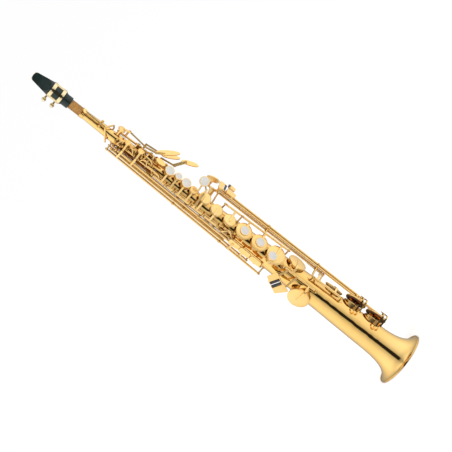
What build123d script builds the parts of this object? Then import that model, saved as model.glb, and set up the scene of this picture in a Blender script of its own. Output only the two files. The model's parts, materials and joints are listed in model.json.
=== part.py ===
"""Straight soprano saxophone, millimetres, +Z up along the bore, bell rim on z = 0, front towards -Y."""

import os
from collections import namedtuple
from math import asin, cos, degrees, radians, sin, tan

from build123d import *

os.makedirs("parts", exist_ok=True)

# ---------------------------------------------------------------- driving dimensions
BELL_RADIUS = 43.8
BELL_TOP = 50.0
NECK_Z = 611.0
NECK_RADIUS = 6.5
TAPER = 0.0286
WALL = 0.9
TENON_TOP = 650.0
TENON_RADIUS = 6.1
TENON_BORE = 4.4
CORK_RADIUS = 7.1

ROD_RADIUS = 0.8
ROD_PLAY = 0.05
TUBE_RADIUS = 1.7
BALL_RADIUS = 2.2
TABLE_BALL = 1.9
STEM_RADIUS = 1.2
FOOT_RADIUS = 2.8

ARM_WIDTH = 3.0
ARM_THICKNESS = 1.7
CUP_WALL = 0.7
PAD_THICKNESS = 2.2
PAD_PROUD = 0.9
CHIMNEY_WALL = 0.9
PEARL_RADIUS = 6.8
PLATE = 1.5

MOUTH_BOTTOM = 632.0
MOUTH_TOP = 699.5
MOUTH_RADIUS = 11.2
TABLE_Y = 8.0
REED_WIDTH = 12.0
BORE_PLAY = 0.05

X_AXIS = Vector(1, 0, 0)
Y_AXIS = Vector(0, 1, 0)
Z_AXIS = Vector(0, 0, 1)


# ---------------------------------------------------------------- places on the cone
def surface(z):
    """Outer radius of the conical tube at height z."""
    return NECK_RADIUS + TAPER * (NECK_Z - z)


def outward(angle):
    """Unit vector away from the axis; 0 degrees is the front, 90 the player's left."""
    return Vector(sin(radians(angle)), -cos(radians(angle)), 0)


def spot(z, angle, lift):
    """Point at height z, lift millimetres outside the tube."""
    return outward(angle) * (surface(z) + lift) + Z_AXIS * z


Rail = namedtuple("Rail", "foot slope")


def cone_rail(angle, lift):
    """Hinge line that runs beside the cone, parallel to its side."""
    return Rail(outward(angle) * (surface(0) + lift), Z_AXIS - outward(angle) * TAPER)


def upright_rail(x, y):
    """Hinge line parallel to the bore."""
    return Rail(Vector(x, y, 0), Z_AXIS)


def on_rail(rail, z):
    return rail.foot + rail.slope * z


def flat(rail, z):
    """The rail's x and y at height z."""
    point = on_rail(rail, z)
    return (point.X, point.Y)


def turned(point, rail, degrees_open):
    """A point turned about the rail."""
    axis = Axis(rail.foot, rail.slope)
    return rail.foot + (point - rail.foot).rotate(axis, degrees_open)


def pad_plane(hole, rail=None, degrees_open=0.0):
    """Plane of a pad's face on its tone hole, turned open about its hinge line."""
    origin = spot(hole.z, hole.angle, hole.lift)
    normal = outward(hole.angle)
    if rail is None:
        return Plane(origin, x_dir=Z_AXIS, z_dir=normal)
    swung = turned(origin, rail, degrees_open)
    tip = turned(origin + normal, rail, degrees_open)
    return Plane(swung, x_dir=Z_AXIS, z_dir=tip - swung)


# ---------------------------------------------------------------- tone holes and rails
Hole = namedtuple("Hole", "z angle cup lift")

HOLES = {
    "palm_f": Hole(549.0, 60.0, 6.0, 9.2),
    "side_e": Hole(530.0, 30.0, 4.8, 1.6),
    "palm_eb": Hole(514.0, 90.0, 5.6, 1.8),
    "side_c": Hole(507.0, 35.0, 5.4, 1.8),
    "palm_d": Hole(491.0, 90.0, 6.0, 1.8),
    "side_bb": Hole(474.0, -138.0, 6.2, 2.0),
    "b": Hole(456.4, 40.0, 7.6, 2.0),
    "bis": Hole(440.9, 44.0, 5.6, 2.0),
    "a": Hole(425.8, 40.0, 7.6, 2.0),
    "a_small": Hole(410.6, 38.0, 6.6, 2.0),
    "g": Hole(389.7, 40.0, 10.0, 2.2),
    "g_sharp": Hole(364.7, 26.0, 10.0, 2.2),
    "f_sharp": Hole(340.6, 24.0, 10.0, 2.2),
    "f": Hole(313.7, 24.0, 13.2, 2.2),
    "e": Hole(284.6, 24.0, 13.2, 2.2),
    "d": Hole(253.8, 24.0, 15.2, 2.4),
    "eb": Hole(218.4, 66.0, 15.2, 2.4),
    "low_c": Hole(186.4, -54.0, 17.4, 2.4),
    "low_c_sharp": Hole(148.0, 92.0, 15.4, 1.8),
    "low_b": Hole(109.6, 95.0, 17.4, 1.8),
    "low_b_flat": Hole(71.0, 95.0, 17.4, 1.8),
}

UPPER = cone_rail(-30, 7.0)
SIDE_A = cone_rail(-100, 12.0)
SIDE_B = cone_rail(-75, 8.5)
SIDE_C = cone_rail(-53, 6.5)
LOWER = cone_rail(60, 13.5)
PALM = cone_rail(130, 7.0)
FRONT_F = cone_rail(72, 5.5)
PINKY = cone_rail(7, 8.0)
C_SHARP = cone_rail(43, 8.0)
G_SHARP_TABLE = upright_rail(29.5, 14.0)
C_SHARP_TABLE = upright_rail(30.4, 24.0)
B_TABLE = upright_rail(37.4, 23.7)
B_FLAT_TABLE = upright_rail(34.0, 21.5)

STACK_OPEN = 8.0
LOW_OPEN = 11.0
NECK_HINGE_Z = 579.0
NECK_HINGE_Y = -13.2
THUMB_HINGE_Z = 505.0
THUMB_HINGE_Y = 15.5
BODY_OCTAVE_Z = 512.0
BODY_OCTAVE_ANGLE = -150.0
BODY_HINGE_Z = 498.0


# ---------------------------------------------------------------- shapes shared by the keys
def pin(start, end, radius, mode=Mode.ADD):
    """Round bar between two points."""
    with Locations(Plane(start, z_dir=end - start)):
        Cylinder(radius, (end - start).length, align=(Align.CENTER, Align.CENTER, Align.MIN), mode=mode)


def tube(rail, low, high):
    """Hinge tube, solid until its bore is cut."""
    pin(on_rail(rail, low), on_rail(rail, high), TUBE_RADIUS)


def tube_bore(rail, low, high):
    """Running fit for the steel rod."""
    reach = 2.0
    pin(on_rail(rail, low - reach), on_rail(rail, high + reach), ROD_RADIUS + ROD_PLAY, Mode.SUBTRACT)


def corner_radii(points, bend):
    """Bend radii that the straight runs of a path leave room for."""
    corners = [Vector(*point) for point in points]
    radii = []
    for before, here, after in zip(corners, corners[1:], corners[2:]):
        half_turn = radians(max(1.0, (here - before).get_angle(after - here))) / 2
        shorter = min((here - before).length, (after - here).length)
        radii.append(min(bend, 0.45 * shorter / tan(half_turn)))
    return radii


def arm(z, *points, width=ARM_WIDTH, thickness=ARM_THICKNESS, bend=2.5):
    """Bent strap that lies across the tube, its path given in x and y."""
    with BuildSketch(Plane.XY.offset(z - width / 2)) as band:
        with BuildLine():
            if len(points) > 2:
                FilletPolyline(*points, radius=corner_radii(points, bend))
            else:
                Polyline(*points)
        trace(line_width=thickness)
    extrude(band.sketch, amount=width)


def bar(start, end, width, thickness, across=Y_AXIS):
    """Straight flat bar between two points, its width along the across direction."""
    run = end - start
    with Locations(Plane(start, x_dir=across, z_dir=run)):
        Box(width, thickness, run.length, align=(Align.CENTER, Align.CENTER, Align.MIN))


def section(plane):
    """Plane that holds the given plane's normal, for a turned profile: x is radial, y is height."""
    return Plane(plane.origin, x_dir=plane.x_dir, z_dir=plane.x_dir.cross(plane.z_dir))


def cup(plane, radius):
    """Pad cup: a dished, domed cover open towards the tone hole."""
    shoulder = PAD_THICKNESS + 0.6
    crown = shoulder + 0.9 + radius * 0.05
    with BuildSketch(section(plane)) as profile:
        with BuildLine():
            Polyline((0, PAD_THICKNESS), (radius - CUP_WALL, PAD_THICKNESS), (radius - CUP_WALL, PAD_PROUD),
                     (radius, PAD_PROUD), (radius, shoulder), (radius * 0.86, shoulder + 0.8))
            ThreePointArc((radius * 0.86, shoulder + 0.8), (radius * 0.45, crown - 0.1), (0, crown))
            Line((0, crown), (0, PAD_THICKNESS))
        make_face()
    revolve(profile.sketch, axis=Axis(plane.origin, plane.z_dir))


def cup_top(radius):
    """Height above the pad's face at which an arm lies on a cup."""
    return PAD_THICKNESS + 0.6 + 0.9 + radius * 0.05


def cup_arm(rail, z, plane, radius, *way):
    """Arm from a hinge tube over a cup's edge to just past its middle."""
    top = cup_top(radius)
    hinge = on_rail(rail, z)
    side = hinge - plane.origin
    side = (side - plane.z_dir * side.dot(plane.z_dir))
    side = Vector(side.X, side.Y, 0).normalized()
    normal = Vector(plane.z_dir.X, plane.z_dir.Y, 0).normalized()
    edge = plane.origin + side * (radius * 0.95) + normal * top
    end = plane.origin - side * (radius * 0.3) + normal * top
    arm(z, flat(rail, z), *way, (edge.X, edge.Y), (end.X, end.Y))


def keyed_cup(name, rail, degrees_open, *way, z=None):
    """A tone hole's cup with its arm; returns the plane of its pad's face."""
    hole = HOLES[name]
    plane = pad_plane(hole, rail, degrees_open)
    cup(plane, hole.cup)
    cup_arm(rail, hole.z if z is None else z, plane, hole.cup, *way)
    return plane


def raised(plane, height, along_x=0.0, along_y=0.0):
    """The plane moved along its normal and within itself."""
    origin = plane.origin + plane.z_dir * height + plane.x_dir * along_x + plane.y_dir * along_y
    return Plane(origin, x_dir=plane.x_dir, z_dir=plane.z_dir)


def pearl_seat(plane, radius, depth=4.0):
    """Bezel that holds a pearl; its recess is 1.2 deep."""
    with Locations(plane):
        Cylinder(radius + 0.9, depth, align=(Align.CENTER, Align.CENTER, Align.MAX))
        Cylinder(radius + 0.02, 1.2, align=(Align.CENTER, Align.CENTER, Align.MAX), mode=Mode.SUBTRACT)


def leaf(root, tip, width, tilt, thickness=PLATE):
    """Leaf-shaped touch plate whose face is tilted about its own length."""
    run = tip - root
    middle = (root + tip) * 0.5
    normal = run.cross(Y_AXIS).rotate(Axis((0, 0, 0), run), tilt)
    with BuildSketch(Plane(middle, x_dir=run, z_dir=normal)) as outline:
        Ellipse(run.length / 2, width / 2)
    extrude(outline.sketch, amount=thickness / 2, both=True)


def touch(plane, length, width, corner=2.5, thickness=PLATE):
    """Rounded rectangular touch plate centred on the plane."""
    with BuildSketch(plane) as outline:
        RectangleRounded(length, width, corner)
    extrude(outline.sketch, amount=thickness / 2, both=True)


def post(point, foot_angle=None, ball=BALL_RADIUS):
    """Ball-topped post that stands on the tube."""
    angle = degrees(asin(point.X / Vector(point.X, point.Y, 0).length))
    angle = 180 - angle if point.Y > 0 else angle
    angle = angle if foot_angle is None else foot_angle
    base = spot(point.Z, angle, -0.5)
    with Locations(Location(point)):
        Sphere(ball)
    pin(base, point, STEM_RADIUS)
    with Locations(Plane(base, z_dir=outward(angle))):
        Cylinder(FOOT_RADIUS, 1.3, align=(Align.CENTER, Align.CENTER, Align.MIN))


def rail_posts(rail, *heights, foot_angle=None, ball=BALL_RADIUS):
    for z in heights:
        post(on_rail(rail, z), foot_angle, ball)


def collar(rail, z):
    """Ring on a post that carries a long hinge tube part way."""
    pin(on_rail(rail, z - 1.4), on_rail(rail, z + 1.4), TUBE_RADIUS + 0.9)


def collar_bore(rail, z):
    pin(on_rail(rail, z - 4), on_rail(rail, z + 4), TUBE_RADIUS + 0.08, Mode.SUBTRACT)


def clear_of_tube():
    """Trims what stands on the tube to the tube's own surface."""
    with Locations((0, 0, BELL_TOP)):
        Cone(surface(BELL_TOP), NECK_RADIUS, NECK_Z - BELL_TOP, align=(Align.CENTER, Align.CENTER, Align.MIN),
             mode=Mode.SUBTRACT)


def save(piece, name):
    piece.part.label = name
    export_step(piece.part, "parts/" + name + ".step")


# ---------------------------------------------------------------- tube, bell and cork
BELL_CURVE = [(23.4, 38), (25.3, 26), (28.9, 15), (34.9, 6.5), (42.1, 1.4)]

TAPER_STEPS = 20
TAPER_BOW = 0.05


def taper(low, high, low_radius, high_radius):
    """Points up a cone with a slight outward bow."""
    points = []
    for step in range(TAPER_STEPS + 1):
        part = step / TAPER_STEPS
        points.append((low_radius + (high_radius - low_radius) * part + TAPER_BOW * 4 * part * (1 - part),
                       low + (high - low) * part))
    return points


with BuildPart() as body_tube:
    with BuildSketch(Plane.XZ) as cone:
        with BuildLine():
            Polyline((0, BELL_TOP), *taper(BELL_TOP, NECK_Z, surface(BELL_TOP), NECK_RADIUS),
                     (TENON_RADIUS, NECK_Z), (TENON_RADIUS, TENON_TOP), (0, TENON_TOP), close=True)
        make_face()
    revolve(axis=Axis.Z)
    for chimney in HOLES.values():
        with Locations(Plane((0, 0, chimney.z), z_dir=outward(chimney.angle))):
            Cylinder(chimney.cup - 1.8 if chimney.lift < 5 else 3.0, surface(chimney.z) + chimney.lift,
                     align=(Align.CENTER, Align.CENTER, Align.MIN))
    neck_pip = Plane((0, 0, 608), z_dir=outward(27))
    body_pip = Plane((0, 0, BODY_OCTAVE_Z), z_dir=outward(BODY_OCTAVE_ANGLE))
    with Locations(neck_pip):
        Cylinder(1.9, surface(608) + 2.6, align=(Align.CENTER, Align.CENTER, Align.MIN))
    with Locations(body_pip):
        Cylinder(1.9, surface(BODY_OCTAVE_Z) + 2.2, align=(Align.CENTER, Align.CENTER, Align.MIN))
    for chimney in HOLES.values():
        with Locations(Plane((0, 0, chimney.z), z_dir=outward(chimney.angle))):
            Cylinder(chimney.cup - 1.8 - CHIMNEY_WALL if chimney.lift < 5 else 2.1, surface(chimney.z) + 12,
                     align=(Align.CENTER, Align.CENTER, Align.MIN), mode=Mode.SUBTRACT)
    with Locations(neck_pip, body_pip):
        Cylinder(0.9, surface(400), align=(Align.CENTER, Align.CENTER, Align.MIN), mode=Mode.SUBTRACT)
    with BuildSketch(Plane.XZ) as bore:
        with BuildLine():
            Polyline((0, BELL_TOP - 1), *taper(BELL_TOP - 1, TENON_TOP + 1, surface(BELL_TOP) - WALL, TENON_BORE),
                     (0, TENON_TOP + 1), close=True)
        make_face()
    revolve(axis=Axis.Z, mode=Mode.SUBTRACT)
save(body_tube, "body_tube")

with BuildPart() as bell:
    with BuildSketch(Plane.XZ) as flare:
        with BuildLine():
            Line((surface(BELL_TOP) - WALL, BELL_TOP), (surface(BELL_TOP), BELL_TOP))
            Spline((surface(BELL_TOP), BELL_TOP), *BELL_CURVE, tangents=((TAPER, -1), (1, -0.35)),
                   tangent_scalars=(1, 1))
            Polyline(BELL_CURVE[-1], (BELL_RADIUS, 2.0), (BELL_RADIUS, 0), (BELL_RADIUS - 2.6, 0))
            inner = [(x - WALL, z + 0.55) for x, z in BELL_CURVE]
            Spline((BELL_RADIUS - 2.6, 0), *reversed(inner[:-1]), (surface(BELL_TOP) - WALL, BELL_TOP))
        make_face()
    revolve(axis=Axis.Z)
    with Locations((0, 0, 0)):
        Torus(BELL_RADIUS - 1.2, 1.2)
    with Locations((0, 0, -2)):
        Cylinder(BELL_RADIUS + 2, 2, align=(Align.CENTER, Align.CENTER, Align.MIN), mode=Mode.SUBTRACT)
save(bell, "bell")

with BuildPart() as neck_cork:
    with Locations((0, 0, NECK_Z + 0.02)):
        Cylinder(CORK_RADIUS, TENON_TOP - NECK_Z - 1, align=(Align.CENTER, Align.CENTER, Align.MIN))
        Cylinder(TENON_RADIUS, TENON_TOP - NECK_Z, align=(Align.CENTER, Align.CENTER, Align.MIN),
                 mode=Mode.SUBTRACT)
    chamfer(neck_cork.edges().filter_by(GeomType.CIRCLE).sort_by(Axis.Z)[-1], 0.4)
save(neck_cork, "neck_cork")

# ---------------------------------------------------------------- hinge posts and rods
SIDE_SUPPORTS = ((SIDE_A, 420), (SIDE_A, 330), (SIDE_B, 405), (SIDE_C, 380))

with BuildPart() as upper_posts:
    rail_posts(UPPER, 474, 448, 432.6, 402, 377, 349)
    rail_posts(SIDE_A, 547.5)
    rail_posts(SIDE_B, 543)
    rail_posts(SIDE_C, 537.5)
    rail_posts(PALM, 549, 499.5, 470)
    rail_posts(FRONT_F, 481.6, 464.0)
    for rail, z in SIDE_SUPPORTS:
        post(on_rail(rail, z))
        collar(rail, z)
    for x in (-0.6, 8.6):
        post(Vector(x, NECK_HINGE_Y, NECK_HINGE_Z), foot_angle=degrees(asin(x / 16)))
    for x in (-4.2, 4.2):
        post(Vector(x, THUMB_HINGE_Y, THUMB_HINGE_Z), foot_angle=180 - degrees(asin(x / 12)))
    body_hinge = spot(BODY_HINGE_Z, BODY_OCTAVE_ANGLE, 5.0)
    body_side = Z_AXIS.cross(outward(BODY_OCTAVE_ANGLE))
    for step in (-3.2, 3.2):
        post(body_hinge + body_side * step, ball=1.6)
    for rail, z in SIDE_SUPPORTS:
        collar_bore(rail, z)
    for rail, low, high in ((UPPER, 346, 478), (SIDE_A, 540, 550), (SIDE_B, 537, 547), (SIDE_C, 531, 541),
                            (PALM, 466, 553), (FRONT_F, 461, 485)):
        pin(on_rail(rail, low), on_rail(rail, high), ROD_RADIUS, Mode.SUBTRACT)
    pin(Vector(-4, NECK_HINGE_Y, NECK_HINGE_Z), Vector(12, NECK_HINGE_Y, NECK_HINGE_Z), ROD_RADIUS,
        Mode.SUBTRACT)
    pin(Vector(-8, THUMB_HINGE_Y, THUMB_HINGE_Z), Vector(8, THUMB_HINGE_Y, THUMB_HINGE_Z), ROD_RADIUS,
        Mode.SUBTRACT)
    pin(body_hinge - body_side * 6, body_hinge + body_side * 6, ROD_RADIUS, Mode.SUBTRACT)
    clear_of_tube()
save(upper_posts, "upper_posts")

TABLE_SUPPORTS = (280, 184)

with BuildPart() as lower_posts:
    rail_posts(SIDE_A, 253)
    rail_posts(SIDE_B, 282.5)
    rail_posts(SIDE_C, 261.5)
    rail_posts(LOWER, 359.5, foot_angle=76)
    rail_posts(LOWER, 328.5, 241.5)
    rail_posts(PINKY, 234, 173)
    rail_posts(C_SHARP, 188, 134)
    rail_posts(G_SHARP_TABLE, 401, 381.6)
    rail_posts(C_SHARP_TABLE, 382.6, 169.4, ball=TABLE_BALL)
    rail_posts(B_TABLE, 373.4, ball=TABLE_BALL)
    rail_posts(B_TABLE, 100.4, foot_angle=150, ball=TABLE_BALL)
    rail_posts(B_FLAT_TABLE, 54.5, ball=TABLE_BALL)
    with Locations(Location(on_rail(B_FLAT_TABLE, 373.4))):
        Sphere(TABLE_BALL)
    for z in TABLE_SUPPORTS:
        post(on_rail(C_SHARP_TABLE, z))
        post(on_rail(B_TABLE, z))
        for rail in (C_SHARP_TABLE, B_TABLE, B_FLAT_TABLE):
            collar(rail, z)
    collar(B_FLAT_TABLE, 100.4)
    for z in TABLE_SUPPORTS:
        for rail in (C_SHARP_TABLE, B_TABLE, B_FLAT_TABLE):
            collar_bore(rail, z)
    collar_bore(B_FLAT_TABLE, 100.4)
    for rail, low, high in ((SIDE_A, 249, 257), (SIDE_B, 279, 286), (SIDE_C, 258, 265), (LOWER, 238, 363),
                            (PINKY, 169, 238), (C_SHARP, 130, 192), (G_SHARP_TABLE, 378, 405),
                            (C_SHARP_TABLE, 378, 387), (C_SHARP_TABLE, 165, 173), (B_TABLE, 369, 377),
                            (B_TABLE, 97, 104), (B_FLAT_TABLE, 369, 377), (B_FLAT_TABLE, 51, 58)):
        pin(on_rail(rail, low), on_rail(rail, high), ROD_RADIUS, Mode.SUBTRACT)
    clear_of_tube()
save(lower_posts, "lower_posts")

RODS = [
    (UPPER, 348, 475), (SIDE_A, 252, 548.5), (SIDE_B, 281.5, 544), (SIDE_C, 260.5, 538.5), (LOWER, 240.5, 360.5),
    (PALM, 469, 550), (FRONT_F, 463, 482.6), (PINKY, 172, 235), (C_SHARP, 133, 189),
    (G_SHARP_TABLE, 380.6, 402), (C_SHARP_TABLE, 168.4, 383.6), (B_TABLE, 99.4, 374.4),
    (B_FLAT_TABLE, 53.5, 374.4),
]

with BuildPart() as hinge_rods:
    for rail, low, high in RODS:
        pin(on_rail(rail, low), on_rail(rail, high), ROD_RADIUS)
    pin(Vector(-2.2, NECK_HINGE_Y, NECK_HINGE_Z), Vector(10.2, NECK_HINGE_Y, NECK_HINGE_Z), ROD_RADIUS)
    pin(Vector(-5.8, THUMB_HINGE_Y, THUMB_HINGE_Z), Vector(5.8, THUMB_HINGE_Y, THUMB_HINGE_Z), ROD_RADIUS)
    pin(body_hinge - body_side * 4.4, body_hinge + body_side * 4.4, ROD_RADIUS)
save(hinge_rods, "hinge_rods")

# ---------------------------------------------------------------- guards, rests and rings
GUARD_CAP_X = 39.4
GUARD_HEIGHTS = (107.5, 68.0)
GUARD_SPREAD = 6.0

with BuildPart() as key_guards:
    for z in GUARD_HEIGHTS:
        for height, foot_angle in ((z, 28.0), (z - GUARD_SPREAD, 36.0)):
            foot = spot(height, foot_angle, -0.4)
            knee = spot(height, foot_angle, 8.0)
            arm(height, (foot.X, foot.Y), (knee.X + 2, knee.Y), (GUARD_CAP_X - 3, -25.5), (GUARD_CAP_X, -20),
                (GUARD_CAP_X, -5), width=2.4, thickness=1.5, bend=2.0)
        with Locations(Plane((GUARD_CAP_X + 0.75, -7.5, z - GUARD_SPREAD / 2), z_dir=X_AXIS)):
            Cylinder(5.6, 1.5, align=(Align.CENTER, Align.CENTER, Align.MAX))
        with Locations(Plane((GUARD_CAP_X - 0.7, -7.5, z - GUARD_SPREAD / 2), z_dir=X_AXIS)):
            Cylinder(2.6, 1.6, align=(Align.CENTER, Align.CENTER, Align.MAX))
    clear_of_tube()
save(key_guards, "key_guards")

with BuildPart() as guard_felts:
    for z in GUARD_HEIGHTS:
        with Locations(Plane((GUARD_CAP_X - 2.3, -7.5, z - GUARD_SPREAD / 2), z_dir=X_AXIS)):
            Cylinder(2.5, 1.0, align=(Align.CENTER, Align.CENTER, Align.MAX))
save(guard_felts, "guard_felts")

THUMB_REST_Z = 436.0
with BuildPart() as thumb_rest:
    base = spot(THUMB_REST_Z, 180, -0.5)
    with Locations(Plane(base, x_dir=Z_AXIS, z_dir=Y_AXIS)):
        Cylinder(4.0, 3.5, align=(Align.CENTER, Align.CENTER, Align.MIN))
        with Locations((0, 0, 3.5)):
            Cylinder(8.0, 2.4, align=(Align.CENTER, Align.CENTER, Align.MIN))
    fillet(thumb_rest.edges().group_by(Axis.Y)[-1], 1.6)
    clear_of_tube()
save(thumb_rest, "thumb_rest")

HOOK_Z = 300.0
HOOK_PLATE_Y = surface(HOOK_Z) + 1.4
with BuildPart() as thumb_hook_plate:
    with Locations((0, HOOK_PLATE_Y, HOOK_Z)):
        Box(13, 2.2, 34, align=(Align.CENTER, Align.MAX, Align.CENTER))
    fillet(thumb_hook_plate.edges().filter_by(Axis.Y), 4)
    with Locations((0, HOOK_PLATE_Y, HOOK_Z)):
        for side in (-1, 1):
            with Locations((side * 5.4, 0, 0)):
                Box(1.6, 1.6, 24, align=(Align.CENTER, Align.MIN, Align.CENTER))
    clear_of_tube()
save(thumb_hook_plate, "thumb_hook_plate")

with BuildPart() as thumb_hook:
    with Locations((0, HOOK_PLATE_Y + 0.1, HOOK_Z)):
        Box(8.8, 2.2, 20, align=(Align.CENTER, Align.MIN, Align.CENTER))
    arm_start = HOOK_PLATE_Y + 2.2
    with BuildSketch(Plane.YZ.offset(-6.5)) as crook:
        with BuildLine():
            FilletPolyline((arm_start - 0.5, HOOK_Z + 6), (arm_start + 10, HOOK_Z + 7),
                           (arm_start + 21, HOOK_Z - 1), (arm_start + 23, HOOK_Z - 9), radius=5)
        trace(line_width=2.4)
    extrude(crook.sketch, amount=13)
    fillet(thumb_hook.edges().group_by(Axis.Y)[-1], 0.6)
    with Locations(Plane((0, HOOK_PLATE_Y, HOOK_Z - 5), z_dir=Y_AXIS)):
        Cylinder(1.55, 6, align=(Align.CENTER, Align.CENTER, Align.MIN), mode=Mode.SUBTRACT)
save(thumb_hook, "thumb_hook")

with BuildPart() as thumb_hook_screw:
    with Locations(Plane((0, HOOK_PLATE_Y + 0.3, HOOK_Z - 5), z_dir=Y_AXIS)):
        Cylinder(1.5, 3.5, align=(Align.CENTER, Align.CENTER, Align.MIN))
    with Locations(Plane((0, HOOK_PLATE_Y + 2.6, HOOK_Z - 5), z_dir=Y_AXIS)):
        Cylinder(3.4, 3.0, align=(Align.CENTER, Align.CENTER, Align.MIN))
        with PolarLocations(3.5, 16):
            Box(0.5, 0.5, 8, mode=Mode.SUBTRACT)
save(thumb_hook_screw, "thumb_hook_screw")

RING_Z = 398.0
RING_Y = surface(RING_Z) + 8.2
with BuildPart() as strap_ring:
    with Locations(Plane((0, RING_Y, RING_Z), z_dir=X_AXIS)):
        Cylinder(6.0, 2.8)
    fillet(strap_ring.edges().filter_by(GeomType.CIRCLE), 0.8)
    with Locations((0, surface(RING_Z) + 1.2, RING_Z)):
        Box(2.8, 3.4, 14)
    with Locations(Plane((0, RING_Y, RING_Z), z_dir=X_AXIS)):
        Cylinder(3.5, 6, mode=Mode.SUBTRACT)
    clear_of_tube()
save(strap_ring, "strap_ring")

# ---------------------------------------------------------------- mouthpiece, reed and ligature
with BuildPart() as mouthpiece:
    with BuildSketch(Plane.XZ) as turned_body:
        with BuildLine():
            Polyline((0, MOUTH_BOTTOM), (8.9, MOUTH_BOTTOM), (9.2, MOUTH_BOTTOM + 0.6), (9.2, 641))
            ThreePointArc((9.2, 641), (10.0, 643.6), (10.9, 645))
            Polyline((10.9, 645), (MOUTH_RADIUS, 652), (MOUTH_RADIUS, 672), (10.6, MOUTH_TOP), (0, MOUTH_TOP),
                     (0, MOUTH_BOTTOM))
        make_face()
    revolve(axis=Axis.Z)
    with BuildSketch(Plane.XZ.offset(-30)) as silhouette:
        with BuildLine():
            Polyline((-20, 620), (20, 620), (20, 668), (MOUTH_RADIUS, 668), (6.9, MOUTH_TOP - 3.4))
            ThreePointArc((6.9, MOUTH_TOP - 3.4), (0, MOUTH_TOP), (-6.9, MOUTH_TOP - 3.4))
            Polyline((-6.9, MOUTH_TOP - 3.4), (-MOUTH_RADIUS, 668), (-20, 668), (-20, 620))
        make_face()
    extrude(silhouette.sketch, amount=60, mode=Mode.INTERSECT)
    with BuildSketch(Plane.YZ.offset(-15)) as beak:
        with BuildLine():
            Polyline((-20, 700), (TABLE_Y - 1.3, 700), (TABLE_Y - 1.4, MOUTH_TOP - 0.4))
            ThreePointArc((TABLE_Y - 1.4, MOUTH_TOP - 0.4), (-1.6, 683.5), (-MOUTH_RADIUS - 0.3, 669))
            Polyline((-MOUTH_RADIUS - 0.3, 669), (-20, 669), (-20, 700))
        make_face()
    extrude(beak.sketch, amount=30, mode=Mode.SUBTRACT)
    with Locations((0, TABLE_Y, 646)):
        Box(30, 10, 60, align=(Align.CENTER, Align.MIN, Align.MIN), mode=Mode.SUBTRACT)
    with Locations((0, 0, MOUTH_BOTTOM - 1)):
        Cylinder(CORK_RADIUS + 0.08, 33, align=(Align.CENTER, Align.CENTER, Align.MIN), mode=Mode.SUBTRACT)
    with Locations((0, 0, 660)):
        Cylinder(5.6, 12, align=(Align.CENTER, Align.CENTER, Align.MIN), mode=Mode.SUBTRACT)
    with BuildSketch(Plane.YZ.offset(-4.4)) as chamber:
        with BuildLine():
            Polyline((TABLE_Y + 1, 667), (-3.5, 667), (-3.5, 675), (TABLE_Y - 2.2, 696.4), (TABLE_Y + 1, 696.4),
                     close=True)
        make_face()
    extrude(chamber.sketch, amount=8.8, mode=Mode.SUBTRACT)
save(mouthpiece, "mouthpiece")

with BuildPart() as reed:
    with BuildSketch(Plane.YZ.offset(-REED_WIDTH / 2)) as wedge:
        with BuildLine():
            Polyline((TABLE_Y, 647), (TABLE_Y + 2.6, 647), (TABLE_Y + 2.6, 669))
            ThreePointArc((TABLE_Y + 2.6, 669), (TABLE_Y + 0.9, 684), (TABLE_Y + 0.25, MOUTH_TOP - 0.3))
            Polyline((TABLE_Y + 0.25, MOUTH_TOP - 0.3), (TABLE_Y, MOUTH_TOP - 0.3), (TABLE_Y, 647))
        make_face()
    extrude(wedge.sketch, amount=REED_WIDTH)
    fillet(reed.edges().filter_by(Axis.Y).group_by(Axis.Z)[0], 1.0)
save(reed, "reed")

BANDS = ((664.8, 5.2), (648.6, 5.2))
SCREW_Y = 14.6
SCREW_HEIGHTS = (664.8, 650.0)


def ligature_outline(grow):
    """Circle of the barrel joined to the rectangle of the reed, grown outwards."""
    Circle(MOUTH_RADIUS + 0.12 + grow)
    with Locations((0, 5)):
        Rectangle(REED_WIDTH + 0.24 + 2 * grow, 2 * (TABLE_Y + 2.7 - 5 + grow))


with BuildPart() as ligature:
    for z, width in BANDS:
        with BuildSketch(Plane.XY.offset(z - width / 2)) as band:
            ligature_outline(0.9)
        extrude(band.sketch, amount=width)
    for angle in (0, 62, -62):
        with Locations(Plane(outward(angle) * (MOUTH_RADIUS + 0.1) + Z_AXIS * 656.7, x_dir=Z_AXIS,
                             z_dir=outward(angle))):
            Box(16.5, 4.2, 2.0, align=(Align.CENTER, Align.CENTER, Align.CENTER))
    for z in SCREW_HEIGHTS:
        for x in (-3.4, 3.4):
            with Locations((x, SCREW_Y - 1.2, z)):
                Box(3.0, 7.0, 4.6)
    with BuildSketch(Plane.XY.offset(640)) as hollow:
        ligature_outline(0)
    extrude(hollow.sketch, amount=40, mode=Mode.SUBTRACT)
    for z in SCREW_HEIGHTS:
        pin(Vector(-10, SCREW_Y, z), Vector(10, SCREW_Y, z), 1.3 + BORE_PLAY, Mode.SUBTRACT)
save(ligature, "ligature")

for number, z in enumerate(SCREW_HEIGHTS, start=1):
    with BuildPart() as ligature_screw:
        pin(Vector(-15.5, SCREW_Y, z), Vector(6.5, SCREW_Y, z), 1.3)
        pin(Vector(-8.0, SCREW_Y, z), Vector(-5.4, SCREW_Y, z), 2.2)
        with Locations(Plane((-21.0, SCREW_Y, z), z_dir=X_AXIS)):
            Cylinder(1.9, 6.5, align=(Align.CENTER, Align.CENTER, Align.MIN))
        with Locations((-18.5, SCREW_Y, z)):
            Sphere(3.4)
        with Locations(Plane((-18.5, SCREW_Y, z), x_dir=Y_AXIS, z_dir=Z_AXIS)):
            Cylinder(4.0, 1.8)
    save(ligature_screw, "ligature_screw_" + str(number))

# ---------------------------------------------------------------- octave mechanism
RING_FRONT = 1.35
RING_BACK = 1.2

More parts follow.
